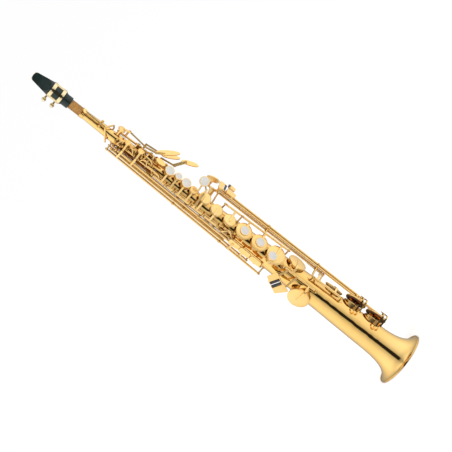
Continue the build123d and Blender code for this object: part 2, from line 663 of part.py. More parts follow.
with BuildPart() as neck_octave_key:
    pip_plane = Plane(outward(27) * (surface(608) + 2.9) + Z_AXIS * 608, x_dir=Z_AXIS, z_dir=outward(27))
    with Locations(pip_plane):
        Cylinder(3.3, 2.2, align=(Align.CENTER, Align.CENTER, Align.MIN))
    neck_hinge = Vector(4.0, NECK_HINGE_Y, NECK_HINGE_Z)
    bar(neck_hinge, pip_plane.origin + outward(27) * 1.4, 2.6, 1.4, X_AXIS)
    pin(Vector(2.0, NECK_HINGE_Y, NECK_HINGE_Z), Vector(6.0, NECK_HINGE_Y, NECK_HINGE_Z), TUBE_RADIUS)
    fork = Vector(4.0, -13.4, 571.0)
    back = Vector(0, 15.2, 557.5)
    left_way = [fork, Vector(-13.2, -6.0, 557.5), Vector(-11.0, 9.0, 557.5), back]
    right_way = [fork, Vector(12.2, -11.5, 564.0), Vector(13.8, 0.0, 560.5), Vector(11.0, 9.0, 557.5), back]
    bar(neck_hinge, fork, 2.6, 1.8, X_AXIS)
    for way in (left_way, right_way):
        for index, (start, end) in enumerate(zip(way, way[1:])):
            thick = RING_FRONT if index < 2 else RING_BACK
            pin(start, end, thick)
            with Locations(Location(end), Location(start)):
                Sphere(thick)
    pin(Vector(0, NECK_HINGE_Y, NECK_HINGE_Z), Vector(8, NECK_HINGE_Y, NECK_HINGE_Z), ROD_RADIUS + ROD_PLAY,
        Mode.SUBTRACT)
save(neck_octave_key, "neck_octave_key")

with BuildPart() as thumb_octave_lever:
    thumb_hinge = Vector(0, THUMB_HINGE_Y, THUMB_HINGE_Z)
    pin(thumb_hinge - X_AXIS * 1.8, thumb_hinge + X_AXIS * 1.8, TUBE_RADIUS)
    bar(thumb_hinge, Vector(0, 11.4, 562.0), 3.0, 1.5, X_AXIS)
    bar(thumb_hinge, Vector(0, 18.5, 470.0), 3.0, 1.6, X_AXIS)
    touch(Plane((0, 19.4, 461.5), x_dir=Z_AXIS, z_dir=Y_AXIS), 20, 12, 5.5, 2.0)
    pin(thumb_hinge - X_AXIS * 4, thumb_hinge + X_AXIS * 4, ROD_RADIUS + ROD_PLAY, Mode.SUBTRACT)
save(thumb_octave_lever, "thumb_octave_lever")

with BuildPart() as body_octave_key:
    away = outward(BODY_OCTAVE_ANGLE)
    seat = away * (surface(BODY_OCTAVE_Z) + 2.5) + Z_AXIS * BODY_OCTAVE_Z
    with Locations(Plane(seat, z_dir=away)):
        Cylinder(3.2, 2.2, align=(Align.CENTER, Align.CENTER, Align.MIN))
    bar(body_hinge, seat + away * 1.6, 2.4, 1.3, body_side)
    bar(body_hinge, body_hinge - Z_AXIS * 9 + away * 0.6, 2.4, 1.3, body_side)
    pin(body_hinge - body_side * 1.3, body_hinge + body_side * 1.3, 1.4)
    pin(body_hinge - body_side * 4, body_hinge + body_side * 4, ROD_RADIUS + ROD_PLAY, Mode.SUBTRACT)
save(body_octave_key, "body_octave_key")

# ---------------------------------------------------------------- palm keys and front F
PALM_TILT = 40.0

with BuildPart() as palm_f_key:
    tube(PALM, 526.6, 546.4)
    plane = pad_plane(HOLES["palm_f"])
    cup(plane, HOLES["palm_f"].cup)
    arm(537, flat(PALM, 537), (19.5, 7.5), (22.5, -4.0), (20.6, -10.5))
    bar(Vector(20.9, -9.4, 537), plane.origin + plane.z_dir * 4.0 - Z_AXIS * 2, 3.0, 1.8, outward(150))
    bar(Vector(21.0, -8.6, 538), Vector(17.2, -9.6, 503), 3.0, 2.4)
    bar(Vector(17.2, -9.6, 505), Vector(20.4, -8.0, 486), 3.6, 2.8)
    bar(Vector(19.8, -7.6, 488), Vector(27.0, -6.0, 476), 5.0, 3.4)
    leaf(Vector(21.0, -6.5, 488), Vector(41.0, -4.0, 458), 10.0, PALM_TILT)
    tube_bore(PALM, 526.6, 546.4)
save(palm_f_key, "palm_f_key")

with BuildPart() as palm_eb_key:
    tube(PALM, 502.3, 526.2)
    keyed_cup("palm_eb", PALM, 0)
    arm(504.5, flat(PALM, 504.5), (20.5, 10.5), (21.5, 8.5))
    bar(Vector(21.2, 9.0, 506), Vector(24.2, 8.5, 473), 3.4, 2.6)
    leaf(Vector(22.8, 8.0, 477), Vector(35.4, 7.0, 452), 8.4, PALM_TILT)
    tube_bore(PALM, 502.3, 526.2)
save(palm_eb_key, "palm_eb_key")

with BuildPart() as palm_d_key:
    tube(PALM, 472.7, 496.8)
    keyed_cup("palm_d", PALM, 0)
    arm(474.5, flat(PALM, 474.5), (19.0, 7.0), (18.8, 1.0))
    bar(Vector(18.8, 2.0, 475), Vector(22.0, 2.0, 451), 5.0, 2.6)
    bar(Vector(20.8, 2.0, 454.5), Vector(37.5, 2.0, 442.0), 6.0, 4.2)
    leaf(Vector(34.0, 2.0, 449), Vector(43.2, 2.0, 424), 9.0, PALM_TILT)
    tube_bore(PALM, 472.7, 496.8)
save(palm_d_key, "palm_d_key")

with BuildPart() as front_f_key:
    tube(FRONT_F, 466.6, 479.0)
    touch_plane = Plane(spot(474.5, 44, 8.2), x_dir=Z_AXIS, z_dir=outward(40))
    with BuildSketch(touch_plane) as drop:
        Ellipse(8.2, 4.6)
    extrude(drop.sketch, amount=1.5)
    arm(474, flat(FRONT_F, 474), (17.4, -9.5), (13.6, -12.6))
    tube_bore(FRONT_F, 466.6, 479.0)
save(front_f_key, "front_f_key")

# ---------------------------------------------------------------- side keys
SIDE_TOUCH_ANGLE = -36.0


def side_touch(z, length, lift, angle=SIDE_TOUCH_ANGLE):
    touch(Plane(spot(z, angle, lift), x_dir=Z_AXIS, z_dir=outward(angle)), length, 9.0, 2.6, 1.8)


with BuildPart() as side_e_key:
    tube(SIDE_A, 255.8, 544.8)
    keyed_cup("side_e", SIDE_A, 0, (-20.8, -7.0), (-8.0, -18.0))
    side_touch(314.2, 18.6, 12.0)
    arm(316, flat(SIDE_A, 316), (-27.6, -8.0), (-22.0, -20.5), (-16.2, -22.6))
    tube_bore(SIDE_A, 255.8, 544.8)
save(side_e_key, "side_e_key")

with BuildPart() as side_c_key:
    tube(SIDE_B, 285.2, 540.3)
    keyed_cup("side_c", SIDE_B, 0, (-16.0, -13.0), (-5.0, -18.0))
    side_touch(294.2, 18.6, 12.0)
    arm(296, flat(SIDE_B, 296), (-25.4, -10.0), (-22.0, -18.5), (-15.8, -22.6))
    tube_bore(SIDE_B, 285.2, 540.3)
save(side_c_key, "side_c_key")

with BuildPart() as side_bb_key:
    tube(SIDE_C, 264.2, 534.8)
    side_hole = HOLES["side_bb"]
    plane = pad_plane(side_hole)
    cup(plane, side_hole.cup)
    arm(474, flat(SIDE_C, 474), (-15.0, -3.0), (-15.9, 5.5), (-14.9, 9.1), (-9.7, 13.7))
    side_touch(273.6, 19.4, 12.0)
    arm(272, flat(SIDE_C, 272), (-21.6, -17.0), (-16.2, -23.2))
    tube_bore(SIDE_C, 264.2, 534.8)
save(side_bb_key, "side_bb_key")

# ---------------------------------------------------------------- upper stack
pearl_planes = {}


def pearl_on_cup(name, plane, radius=PEARL_RADIUS, extra=2.4, along_z=0.0, along_y=0.0):
    """Raises a pearl's bezel on a cup and remembers where the pearl goes."""
    top = raised(plane, cup_top(HOLES[name].cup) + extra, along_z, along_y)
    pearl_planes[name] = (top, radius)
    pearl_seat(top, radius)


with BuildPart() as b_key:
    tube(UPPER, 450.7, 471.3)
    cup_plane = keyed_cup("b", UPPER, -STACK_OPEN)
    pearl_on_cup("b", cup_plane)
    tube_bore(UPPER, 450.7, 471.3)
save(b_key, "b_key")

with BuildPart() as bis_key:
    tube(UPPER, 435.3, 445.3)
    cup_plane = keyed_cup("bis", UPPER, -STACK_OPEN)
    pearl_on_cup("bis", cup_plane, 4.9)
    tube_bore(UPPER, 435.3, 445.3)
save(bis_key, "bis_key")

with BuildPart() as a_key:
    tube(UPPER, 404.7, 429.9)
    cup_plane = keyed_cup("a", UPPER, -STACK_OPEN)
    pearl_on_cup("a", cup_plane)
    keyed_cup("a_small", UPPER, -STACK_OPEN)
    tube_bore(UPPER, 404.7, 429.9)
save(a_key, "a_key")

with BuildPart() as g_key:
    tube(UPPER, 379.7, 399.3)
    keyed_cup("g", UPPER, -STACK_OPEN)
    stalk = Vector(24.0, -22.5, 398.0)
    arm(396.5, flat(UPPER, 396.5), (-8.5, -22.5), (16.0, -24.4), (24.0, -22.6), width=3.2)
    g_top = Plane((31.1, -25.0, 407.0), x_dir=Z_AXIS, z_dir=outward(16))
    bar(stalk - X_AXIS * 1.5, Vector(31.0, -22.5, 406.0), 3.2, 2.0, Y_AXIS)
    pearl_planes["g"] = (g_top, PEARL_RADIUS)
    pearl_seat(g_top, PEARL_RADIUS, 2.6)
    tube_bore(UPPER, 379.7, 399.3)
save(g_key, "g_key")

with BuildPart() as g_sharp_key:
    tube(UPPER, 351.7, 374.3)
    keyed_cup("g_sharp", UPPER, 0)
    tube_bore(UPPER, 351.7, 374.3)
save(g_sharp_key, "g_sharp_key")

TABLE_X = 43.0
TABLE_Y_MIDDLE = 4.0
TABLE_TILT = 34.0
TABLE_ALONG = Vector(sin(radians(TABLE_TILT)), cos(radians(TABLE_TILT)), 0)
TABLE_OUT = Vector(cos(radians(TABLE_TILT)), -sin(radians(TABLE_TILT)), 0)


def on_table(y, z, out=0.0):
    """Point on the slanting plane that the little-finger touches share."""
    reach = (y - TABLE_Y_MIDDLE) / cos(radians(TABLE_TILT))
    return Vector(TABLE_X, TABLE_Y_MIDDLE, z) + TABLE_ALONG * reach + TABLE_OUT * out


def flat_table(y):
    """The touches' plane's x and y where it crosses the given y."""
    return (on_table(y, 0).X, y)


with BuildPart() as g_sharp_lever:
    tube(G_SHARP_TABLE, 384.3, 398.3)
    arm(393, flat(G_SHARP_TABLE, 393), (38.0, 10.0), (42.4, 3.0))
    arm(388, flat(G_SHARP_TABLE, 388), (24.5, 3.0), (20.5, -4.0))
    leaf(Vector(43.0, 1.0, 384.6), Vector(39.6, 1.0, 405.0), 14.0, TABLE_TILT)
    tube_bore(G_SHARP_TABLE, 384.3, 398.3)
save(g_sharp_lever, "g_sharp_lever")

# ---------------------------------------------------------------- lower stack
with BuildPart() as f_sharp_key:
    tube(LOWER, 331.2, 356.8)
    keyed_cup("f_sharp", LOWER, STACK_OPEN)
    tube_bore(LOWER, 331.2, 356.8)
save(f_sharp_key, "f_sharp_key")

with BuildPart() as f_key:
    tube(LOWER, 299.6, 325.8)
    cup_plane = keyed_cup("f", LOWER, STACK_OPEN)
    pearl_on_cup("f", cup_plane, extra=1.2)
    tube_bore(LOWER, 299.6, 325.8)
save(f_key, "f_key")

with BuildPart() as e_key:
    tube(LOWER, 270.4, 299.3)
    cup_plane = keyed_cup("e", LOWER, STACK_OPEN)
    pearl_on_cup("e", cup_plane, extra=1.2)
    tube_bore(LOWER, 270.4, 299.3)
save(e_key, "e_key")

with BuildPart() as d_key:
    tube(LOWER, 244.2, 270.1)
    cup_plane = keyed_cup("d", LOWER, STACK_OPEN)
    pearl_on_cup("d", cup_plane, extra=1.2, along_z=4.6, along_y=6.2)
    tube_bore(LOWER, 244.2, 270.1)
save(d_key, "d_key")

# ---------------------------------------------------------------- right little finger
TOUCH_TILT = -25.0
ROLLER_RADIUS = 2.2
ROLLER_LENGTH = 15.5
across = Vector(-0.894 * cos(radians(TOUCH_TILT)), -0.894 * sin(radians(TOUCH_TILT)), 0.447)
pinky_plane = Plane((-23.5, -26.0, 229.0), x_dir=across, z_dir=outward(TOUCH_TILT))


def in_plane(plane, along, up, out=0.0):
    return plane.origin + plane.x_dir * along + plane.y_dir * up + plane.z_dir * out


def roller_mount(plane, up, side):
    """Ears and pin for a roller along the plane's x."""
    half = ROLLER_LENGTH / 2
    for end in (-1, 1):
        ear = in_plane(plane, end * (half + 0.9), up)
        with Locations(Plane(ear, x_dir=plane.x_dir, z_dir=plane.z_dir)):
            Box(1.2, 3.4, 3.0)
        with Locations(Plane(in_plane(plane, end * (half + 0.9), up + side * 2.2), x_dir=plane.x_dir,
                             z_dir=plane.z_dir)):
            Box(1.2, 4.0, 1.6)
    pin(in_plane(plane, -half - 1.2, up), in_plane(plane, half + 1.2, up), 0.7)


UP_SIDE = 1 if pinky_plane.y_dir.Z > 0 else -1
EB_ROLLER_UP = 2.9 * UP_SIDE
C_ROLLER_UP = -2.9 * UP_SIDE

with BuildPart() as eb_key:
    tube(PINKY, 217.0, 231.3)
    keyed_cup("eb", PINKY, 0, (12.0, -27.0))
    with BuildSketch(pinky_plane) as plate:
        with BuildLine():
            Polyline((-8.8, 5.6 * UP_SIDE), (8.8, 5.6 * UP_SIDE), (7.8, 15.0 * UP_SIDE), (-9.4, 16.2 * UP_SIDE),
                     close=True)
        make_face()
        fillet(plate.vertices(), 1.8)
    extrude(plate.sketch, amount=PLATE / 2, both=True)
    roller_mount(pinky_plane, EB_ROLLER_UP, UP_SIDE)
    bar(Vector(3.0, on_rail(PINKY, 226).Y - 1.0, 226.0), in_plane(pinky_plane, -5.0, 9.5 * UP_SIDE), 2.0, 2.8,
        outward(TOUCH_TILT))
    tube_bore(PINKY, 217.0, 231.3)
save(eb_key, "eb_key")

with BuildPart() as low_c_key:
    tube(PINKY, 175.7, 216.7)
    keyed_cup("low_c", PINKY, LOW_OPEN, (-7.5, -31.0))
    with BuildSketch(pinky_plane) as plate:
        with BuildLine():
            Polyline((-8.8, -5.6 * UP_SIDE), (8.8, -5.6 * UP_SIDE), (9.2, -14.5 * UP_SIDE),
                     (-11.5, -20.0 * UP_SIDE), (-10.5, -7.0 * UP_SIDE), close=True)
        make_face()
        fillet(plate.vertices(), 1.6)
    extrude(plate.sketch, amount=PLATE / 2, both=True)
    roller_mount(pinky_plane, C_ROLLER_UP, -UP_SIDE)
    bar(Vector(3.0, on_rail(PINKY, 209).Y - 1.0, 209.0), in_plane(pinky_plane, -7.5, -12.0 * UP_SIDE), 2.0, 2.8,
        outward(TOUCH_TILT))
    tube_bore(PINKY, 175.7, 216.7)
save(low_c_key, "low_c_key")

# ---------------------------------------------------------------- left little finger and low keys
def table_touch(z, y, height, width):
    touch(Plane(on_table(y, z), x_dir=TABLE_ALONG, z_dir=TABLE_OUT), width, height, 2.2, 1.8)


TABLE_ROLLER_RADIUS = 1.7


def table_roller_mount(z, y_low, y_high, touch_z):
    for y in (y_low - 0.8, y_high + 0.8):
        bar(on_table(y, z, 0.3), on_table(y, touch_z), 1.2, 1.8, TABLE_ALONG)
    pin(on_table(y_low - 1.0, z, 0.3), on_table(y_high + 1.0, z, 0.3), 0.6)


with BuildPart() as low_c_sharp_lever:
    tube(C_SHARP_TABLE, 172.0, 380.0)
    arm(377.5, flat(C_SHARP_TABLE, 377.5), (30.4, 16.0), (40.0, 11.0), flat_table(6.0), bend=1.5)
    table_touch(379.0, 2.0, 8.0, 17.0)
    table_roller_mount(372.4, -3.0, 7.0, 377.0)
    arm(174.5, flat(C_SHARP_TABLE, 174.5), (28.8, 8.0), (27.4, -4.0))
    tube_bore(C_SHARP_TABLE, 172.0, 380.0)
save(low_c_sharp_lever, "low_c_sharp_lever")

with BuildPart() as low_c_sharp_key:
    tube(C_SHARP, 136.7, 185.3)
    keyed_cup("low_c_sharp", C_SHARP, 0)
    arm(180.5, flat(C_SHARP, 180.5), (24.6, -14.0), (27.4, -5.0))
    tube_bore(C_SHARP, 136.7, 185.3)
save(low_c_sharp_key, "low_c_sharp_key")

with BuildPart() as low_b_key:
    tube(B_TABLE, 103.1, 370.8)
    keyed_cup("low_b", B_TABLE, LOW_OPEN, (37.6, 12.0))
    arm(364, flat(B_TABLE, 364), (44.0, 18.5), flat_table(11.5))
    table_touch(361.2, 11.0, 9.0, 8.6)
    table_roller_mount(367.6, 8.6, 13.4, 363.0)
    tube_bore(B_TABLE, 103.1, 370.8)
save(low_b_key, "low_b_key")

with BuildPart() as low_b_flat_key:
    tube(B_FLAT_TABLE, 57.2, 370.8)
    keyed_cup("low_b_flat", B_FLAT_TABLE, LOW_OPEN, (35.0, 11.0))
    arm(354.6, flat(B_FLAT_TABLE, 354.6), (34.4, 12.0), (37.6, 5.0), flat_table(1.0), bend=2.0)
    table_touch(360.2, 0.2, 16.0, 10.6)
    tube_bore(B_FLAT_TABLE, 57.2, 370.8)
save(low_b_flat_key, "low_b_flat_key")

# ---------------------------------------------------------------- pearls, rollers and large pads
for name, (plane, radius) in pearl_planes.items():
    with BuildPart() as pearl:
        with Locations(plane):
            Cylinder(radius, 1.2, align=(Align.CENTER, Align.CENTER, Align.MAX))
        with BuildSketch(section(plane)) as dome:
            with BuildLine():
                Line((0, 0), (radius, 0))
                ThreePointArc((radius, 0), (radius * 0.55, 0.65), (0, 0.9))
                Line((0, 0.9), (0, 0))
            make_face()
        revolve(dome.sketch, axis=Axis(plane.origin, plane.z_dir))
    save(pearl, name + "_pearl")

half_roller = ROLLER_LENGTH / 2
ROLLERS = {
    "eb_roller": (in_plane(pinky_plane, -half_roller, EB_ROLLER_UP), pinky_plane.x_dir, ROLLER_LENGTH,
                  ROLLER_RADIUS, 0.75),
    "low_c_roller": (in_plane(pinky_plane, -half_roller, C_ROLLER_UP), pinky_plane.x_dir, ROLLER_LENGTH,
                     ROLLER_RADIUS, 0.75),
    "low_c_sharp_roller": (on_table(-3.0, 372.4, 0.3), TABLE_ALONG, 10.0 / cos(radians(TABLE_TILT)),
                           TABLE_ROLLER_RADIUS, 0.65),
    "low_b_roller": (on_table(8.6, 367.6, 0.3), TABLE_ALONG, 4.8 / cos(radians(TABLE_TILT)), TABLE_ROLLER_RADIUS,
                     0.65),
}
for name, (start, direction, length, radius, hole_radius) in ROLLERS.items():
    with BuildPart() as roller:
        with Locations(Plane(start, z_dir=direction)):
            Cylinder(radius, length, align=(Align.CENTER, Align.CENTER, Align.MIN))
            fillet(roller.edges(), 0.5)
            Cylinder(hole_radius, length, align=(Align.CENTER, Align.CENTER, Align.MIN), mode=Mode.SUBTRACT)
    save(roller, name)

PADS = {"eb": (PINKY, 0), "low_c": (PINKY, LOW_OPEN), "low_c_sharp": (C_SHARP, 0), "low_b": (B_TABLE, LOW_OPEN),
        "low_b_flat": (B_FLAT_TABLE, LOW_OPEN)}
for name, (rail, degrees_open) in PADS.items():
    hole = HOLES[name]
    with BuildPart() as pad:
        with Locations(pad_plane(hole, rail, degrees_open)):
            with Locations((0, 0, 0.05)):
                Cylinder(hole.cup - CUP_WALL - 0.02, PAD_THICKNESS - 0.05,
                         align=(Align.CENTER, Align.CENTER, Align.MIN))
                fillet(pad.edges().group_by(Axis(pad_plane(hole, rail, degrees_open).origin,
                                                 pad_plane(hole, rail, degrees_open).z_dir))[0], 0.6)
    save(pad, name + "_pad")
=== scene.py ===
"""Soprano saxophone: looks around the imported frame. Metres, +Z up along the bore, -Y towards the front."""

import json
import math

import bmesh
import bpy
from mathutils import Matrix, Vector


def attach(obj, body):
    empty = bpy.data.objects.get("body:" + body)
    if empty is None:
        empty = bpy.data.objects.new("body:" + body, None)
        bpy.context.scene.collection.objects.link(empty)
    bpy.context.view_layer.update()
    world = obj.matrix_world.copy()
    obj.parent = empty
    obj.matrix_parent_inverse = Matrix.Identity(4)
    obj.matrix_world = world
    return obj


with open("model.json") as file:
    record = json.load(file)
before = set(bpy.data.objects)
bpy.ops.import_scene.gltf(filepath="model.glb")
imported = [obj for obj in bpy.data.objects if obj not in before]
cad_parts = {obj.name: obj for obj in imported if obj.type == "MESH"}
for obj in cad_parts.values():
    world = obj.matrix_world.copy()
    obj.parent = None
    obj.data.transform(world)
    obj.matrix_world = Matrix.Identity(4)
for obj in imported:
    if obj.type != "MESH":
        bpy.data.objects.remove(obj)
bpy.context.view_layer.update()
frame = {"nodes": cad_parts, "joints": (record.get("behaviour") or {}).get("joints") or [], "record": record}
NODES = frame["nodes"]
RECORD = frame["record"]
JOINTS = {joint["name"]: joint for joint in frame["joints"]}
SLOT_OF = {row["node"]: row["material_slot"] for row in RECORD["subparts"]}

MM = 0.001


# ------------------------------------------------------------------ camera and studio
CAMERA_TARGET = Vector((-0.00187, 0.0, 0.3366))
CAMERA_DISTANCE = 3.5
CAMERA_ELEVATION = 10.0
CAMERA_ROLL = -52.2
LENS = 187.4
SENSOR_WIDTH = 36.0

WORLD_STRENGTH = 1.02
FLOOR_SIZE = 160.0
FLOOR_HEIGHT = -0.0005
TENT_RADIUS = 2.6
TENT_MIDDLE = 0.33
LIGHT_TARGET = Vector((0.0, 0.0, 0.35))
LIGHT_SIZE = 1.6


def make_camera():
    data = bpy.data.cameras.new("camera")
    data.lens = LENS
    data.sensor_width = SENSOR_WIDTH
    data.clip_start = 0.05
    data.clip_end = 400.0
    cam = bpy.data.objects.new("camera", data)
    bpy.context.scene.collection.objects.link(cam)
    tilt = math.radians(CAMERA_ELEVATION)
    away = Vector((0.0, -math.cos(tilt), math.sin(tilt)))
    turn = Matrix.Rotation(math.radians(90.0 - CAMERA_ELEVATION), 4, "X")
    turn = turn @ Matrix.Rotation(math.radians(CAMERA_ROLL), 4, "Z")
    cam.matrix_world = Matrix.Translation(CAMERA_TARGET + away * CAMERA_DISTANCE) @ turn
    bpy.context.scene.camera = cam


def node_tree(material):
    material.use_nodes = True
    tree = material.node_tree
    tree.nodes.clear()
    return tree


def ramp(tree, stops, source=None):
    """Colour ramp node from (position, colour) stops."""
    node = tree.nodes.new("ShaderNodeValToRGB")
    elements = node.color_ramp.elements
    while len(elements) < len(stops):
        elements.new(0.5)
    for element, (position, color) in zip(elements, stops):
        element.position = position
        element.color = (*color, 1.0)
    if source is not None:
        tree.links.new(source, node.inputs["Fac"])
    return node


def grey_stops(stops):
    """Ramp stops in grey from (position, level) pairs."""
    return [(position, (level, level, level)) for position, level in stops]


def math_node(tree, operation, first, second=None):
    """Result of a maths node whose inputs are numbers or other nodes' outputs."""
    node = tree.nodes.new("ShaderNodeMath")
    node.operation = operation
    for index, value in enumerate((first, second)):
        if value is None:
            continue
        if isinstance(value, (int, float)):
            node.inputs[index].default_value = value
        else:
            tree.links.new(value, node.inputs[index])
    return node.outputs[0]


def make_world():
    world = bpy.data.worlds.new("studio")
    bpy.context.scene.world = world
    world.use_nodes = True
    background = world.node_tree.nodes["Background"]
    background.inputs["Color"].default_value = (1.0, 1.0, 1.0, 1.0)
    background.inputs["Strength"].default_value = WORLD_STRENGTH


def make_floor():
    """Pale floor that the bell stands on; it is far larger than the view."""
    mesh = bpy.data.meshes.new("floor")
    half = FLOOR_SIZE / 2
    corners = [(-half, -half, 0), (half, -half, 0), (half, half, 0), (-half, half, 0)]
    mesh.from_pydata(corners, [], [(0, 1, 2, 3)])
    floor = bpy.data.objects.new("floor", mesh)
    floor.location = (0.0, 0.0, FLOOR_HEIGHT)
    bpy.context.scene.collection.objects.link(floor)
    material = bpy.data.materials.new("pale_floor")
    tree = node_tree(material)
    out = tree.nodes.new("ShaderNodeOutputMaterial")
    shader = tree.nodes.new("ShaderNodeBsdfDiffuse")
    shader.inputs["Color"].default_value = (0.97, 0.97, 0.97, 1.0)
    tree.links.new(shader.outputs[0], out.inputs["Surface"])
    mesh.materials.append(material)
    floor.visible_glossy = False


# brightness round the tent, as (bearing from the front / 180 degrees, level)
TENT_BEARINGS = [
    (0.0, 0.5), (0.060, 0.52), (0.12, 0.72), (0.20, 0.96), (0.30, 1.15),
    (0.42, 1.22), (0.53, 1.22), (0.68, 0.95), (0.84, 0.55), (1.0, 0.25),
]
# the highest level that a ramp's 0 to 1 stands for
TENT_PEAK = 1.5
# brightness up the tent, as (share of its height, level)
TENT_HEIGHTS = [(0.0, 0.35), (0.3, 0.92), (0.5, 1.02), (0.75, 1.02), (0.9, 0.8), (1.0, 0.9)]
# the dark gap between the softboxes: how dark by bearing, and by height up the tent
GAP_BEARINGS = [(0.0, 1.0), (0.060, 1.0), (0.074, 0.0), (1.0, 0.0)]
GAP_HEIGHTS = [(0.28, 0.0), (0.31, 1.0), (0.90, 1.0), (0.95, 0.0)]
GAP_DEPTH = 0.96


def make_tent():
    """Light tent seen only in reflections: tall softboxes with a dark gap between the front two."""
    bm = bmesh.new()
    bmesh.ops.create_uvsphere(bm, u_segments=48, v_segments=24, radius=TENT_RADIUS)
    mesh = bpy.data.meshes.new("light_tent")
    bm.to_mesh(mesh)
    bm.free()
    tent = bpy.data.objects.new("light_tent", mesh)
    tent.location = (0.0, 0.0, TENT_MIDDLE)
    bpy.context.scene.collection.objects.link(tent)
    material = bpy.data.materials.new("tent_light")
    tree = node_tree(material)
    place = tree.nodes.new("ShaderNodeTexCoord")
    split = tree.nodes.new("ShaderNodeSeparateXYZ")
    tree.links.new(place.outputs["Object"], split.inputs[0])
    x, y, z = split.outputs[0], split.outputs[1], split.outputs[2]
    back = math_node(tree, "MULTIPLY", y, -1.0)
    side = math_node(tree, "ABSOLUTE", x)
    bearing = math_node(tree, "DIVIDE", math_node(tree, "ARCTAN2", side, back), math.pi)
    height = math_node(tree, "DIVIDE", math_node(tree, "ADD", z, TENT_RADIUS), 2 * TENT_RADIUS)
    round_about = ramp(tree, grey_stops((p, v / TENT_PEAK) for p, v in TENT_BEARINGS), bearing)
    up_down = ramp(tree, grey_stops(TENT_HEIGHTS), height)
    level = math_node(tree, "MULTIPLY", round_about.outputs["Color"], up_down.outputs["Color"])
    gap_round = ramp(tree, grey_stops(GAP_BEARINGS), bearing)
    gap_up = ramp(tree, grey_stops(GAP_HEIGHTS), height)
    gap = math_node(tree, "MULTIPLY", gap_round.outputs["Color"], gap_up.outputs["Color"])
    lit = math_node(tree, "SUBTRACT", 1.0, math_node(tree, "MULTIPLY", gap, GAP_DEPTH))
    level = math_node(tree, "MULTIPLY", math_node(tree, "MULTIPLY", level, lit), TENT_PEAK)
    glow = tree.nodes.new("ShaderNodeEmission")
    glow.inputs["Color"].default_value = (1.0, 0.985, 0.96, 1.0)
    tree.links.new(level, glow.inputs["Strength"])
    out = tree.nodes.new("ShaderNodeOutputMaterial")
    tree.links.new(glow.outputs[0], out.inputs["Surface"])
    mesh.materials.append(material)
    tent.visible_camera = False
    tent.visible_diffuse = False
    tent.visible_shadow = False
    tent.visible_transmission = False
    tent.visible_volume_scatter = False


def make_light(name, place, power):
    """Soft square light aimed at the middle of the instrument, kept out of reflections."""
    data = bpy.data.lights.new(name, "AREA")
    data.shape = "RECTANGLE"
    data.size = LIGHT_SIZE
    data.size_y = LIGHT_SIZE
    data.energy = power
    light = bpy.data.objects.new(name, data)
    light.location = place
    light.rotation_euler = (LIGHT_TARGET - Vector(place)).to_track_quat("-Z", "Y").to_euler()
    light.visible_glossy = False
    bpy.context.scene.collection.objects.link(light)


# ------------------------------------------------------------------ materials
# painted shade: the reach, brown tints and samples of the ambient occlusion that darkens colour between parts
PAINTED_SHADE_REACH = 0.009
PAINTED_SHADE_TINTS = [(0.12, (0.30, 0.17, 0.07)), (0.45, (0.74, 0.62, 0.46)), (0.8, (1.0, 1.0, 1.0))]
PAINTED_SHADE_SAMPLES = 6


def principled(name, **constants):
    """New material with a Principled shader whose constant sockets are set directly."""
    material = bpy.data.materials.new(name)
    tree = node_tree(material)
    shader = tree.nodes.new("ShaderNodeBsdfPrincipled")
    out = tree.nodes.new("ShaderNodeOutputMaterial")
    tree.links.new(shader.outputs[0], out.inputs["Surface"])
    for socket, value in constants.items():
        shader.inputs[socket.replace("_", " ")].default_value = value
    return material, tree, shader


def texture(tree, kind, scale, stretch=(1.0, 1.0, 1.0), **settings):
    """Procedural texture in object coordinates, with its own scale along each axis."""
    place = tree.nodes.new("ShaderNodeTexCoord")
    mapping = tree.nodes.new("ShaderNodeMapping")
    mapping.inputs["Scale"].default_value = stretch
    node = tree.nodes.new(kind)
    tree.links.new(place.outputs["Object"], mapping.inputs["Vector"])
    tree.links.new(mapping.outputs[0], node.inputs["Vector"])
    node.inputs["Scale"].default_value = scale
    for socket, value in settings.items():
        node.inputs[socket.replace("_", " ")].default_value = value
    return node


def bump(tree, shader, height, strength, distance):
    """Relief from a pattern, for the shader's normal."""
    node = tree.nodes.new("ShaderNodeBump")
    node.inputs["Strength"].default_value = strength
    node.inputs["Distance"].default_value = distance
    tree.links.new(height, node.inputs["Height"])
    tree.links.new(node.outputs[0], shader.inputs["Normal"])


def tint_and_gloss(tree, shader, source, tints, glosses):
    """Base colour and roughness that both follow one pattern."""
    for socket, stops in (("Base Color", tints), ("Roughness", grey_stops(glosses))):
        tree.links.new(ramp(tree, stops, source).outputs["Color"], shader.inputs[socket])


def blend(tree, first, share, second, other_share):
    """Sum of two patterns, each with its share."""
    return math_node(tree, "ADD", math_node(tree, "MULTIPLY", first, share),
                     math_node(tree, "MULTIPLY", second, other_share))


def painted_crevice_shade(tree, color):
    """Painted shade: colour browned by ambient occlusion where pieces crowd together."""
    occlusion = tree.nodes.new("ShaderNodeAmbientOcclusion")
    occlusion.samples = PAINTED_SHADE_SAMPLES
    occlusion.inputs["Distance"].default_value = PAINTED_SHADE_REACH
    shade = ramp(tree, PAINTED_SHADE_TINTS, occlusion.outputs["AO"])
    mix = tree.nodes.new("ShaderNodeMixRGB")
    mix.blend_type = "MULTIPLY"
    mix.inputs["Fac"].default_value = 1.0
    tree.links.new(color, mix.inputs["Color1"])
    tree.links.new(shade.outputs["Color"], mix.inputs["Color2"])
    return mix.outputs["Color"]


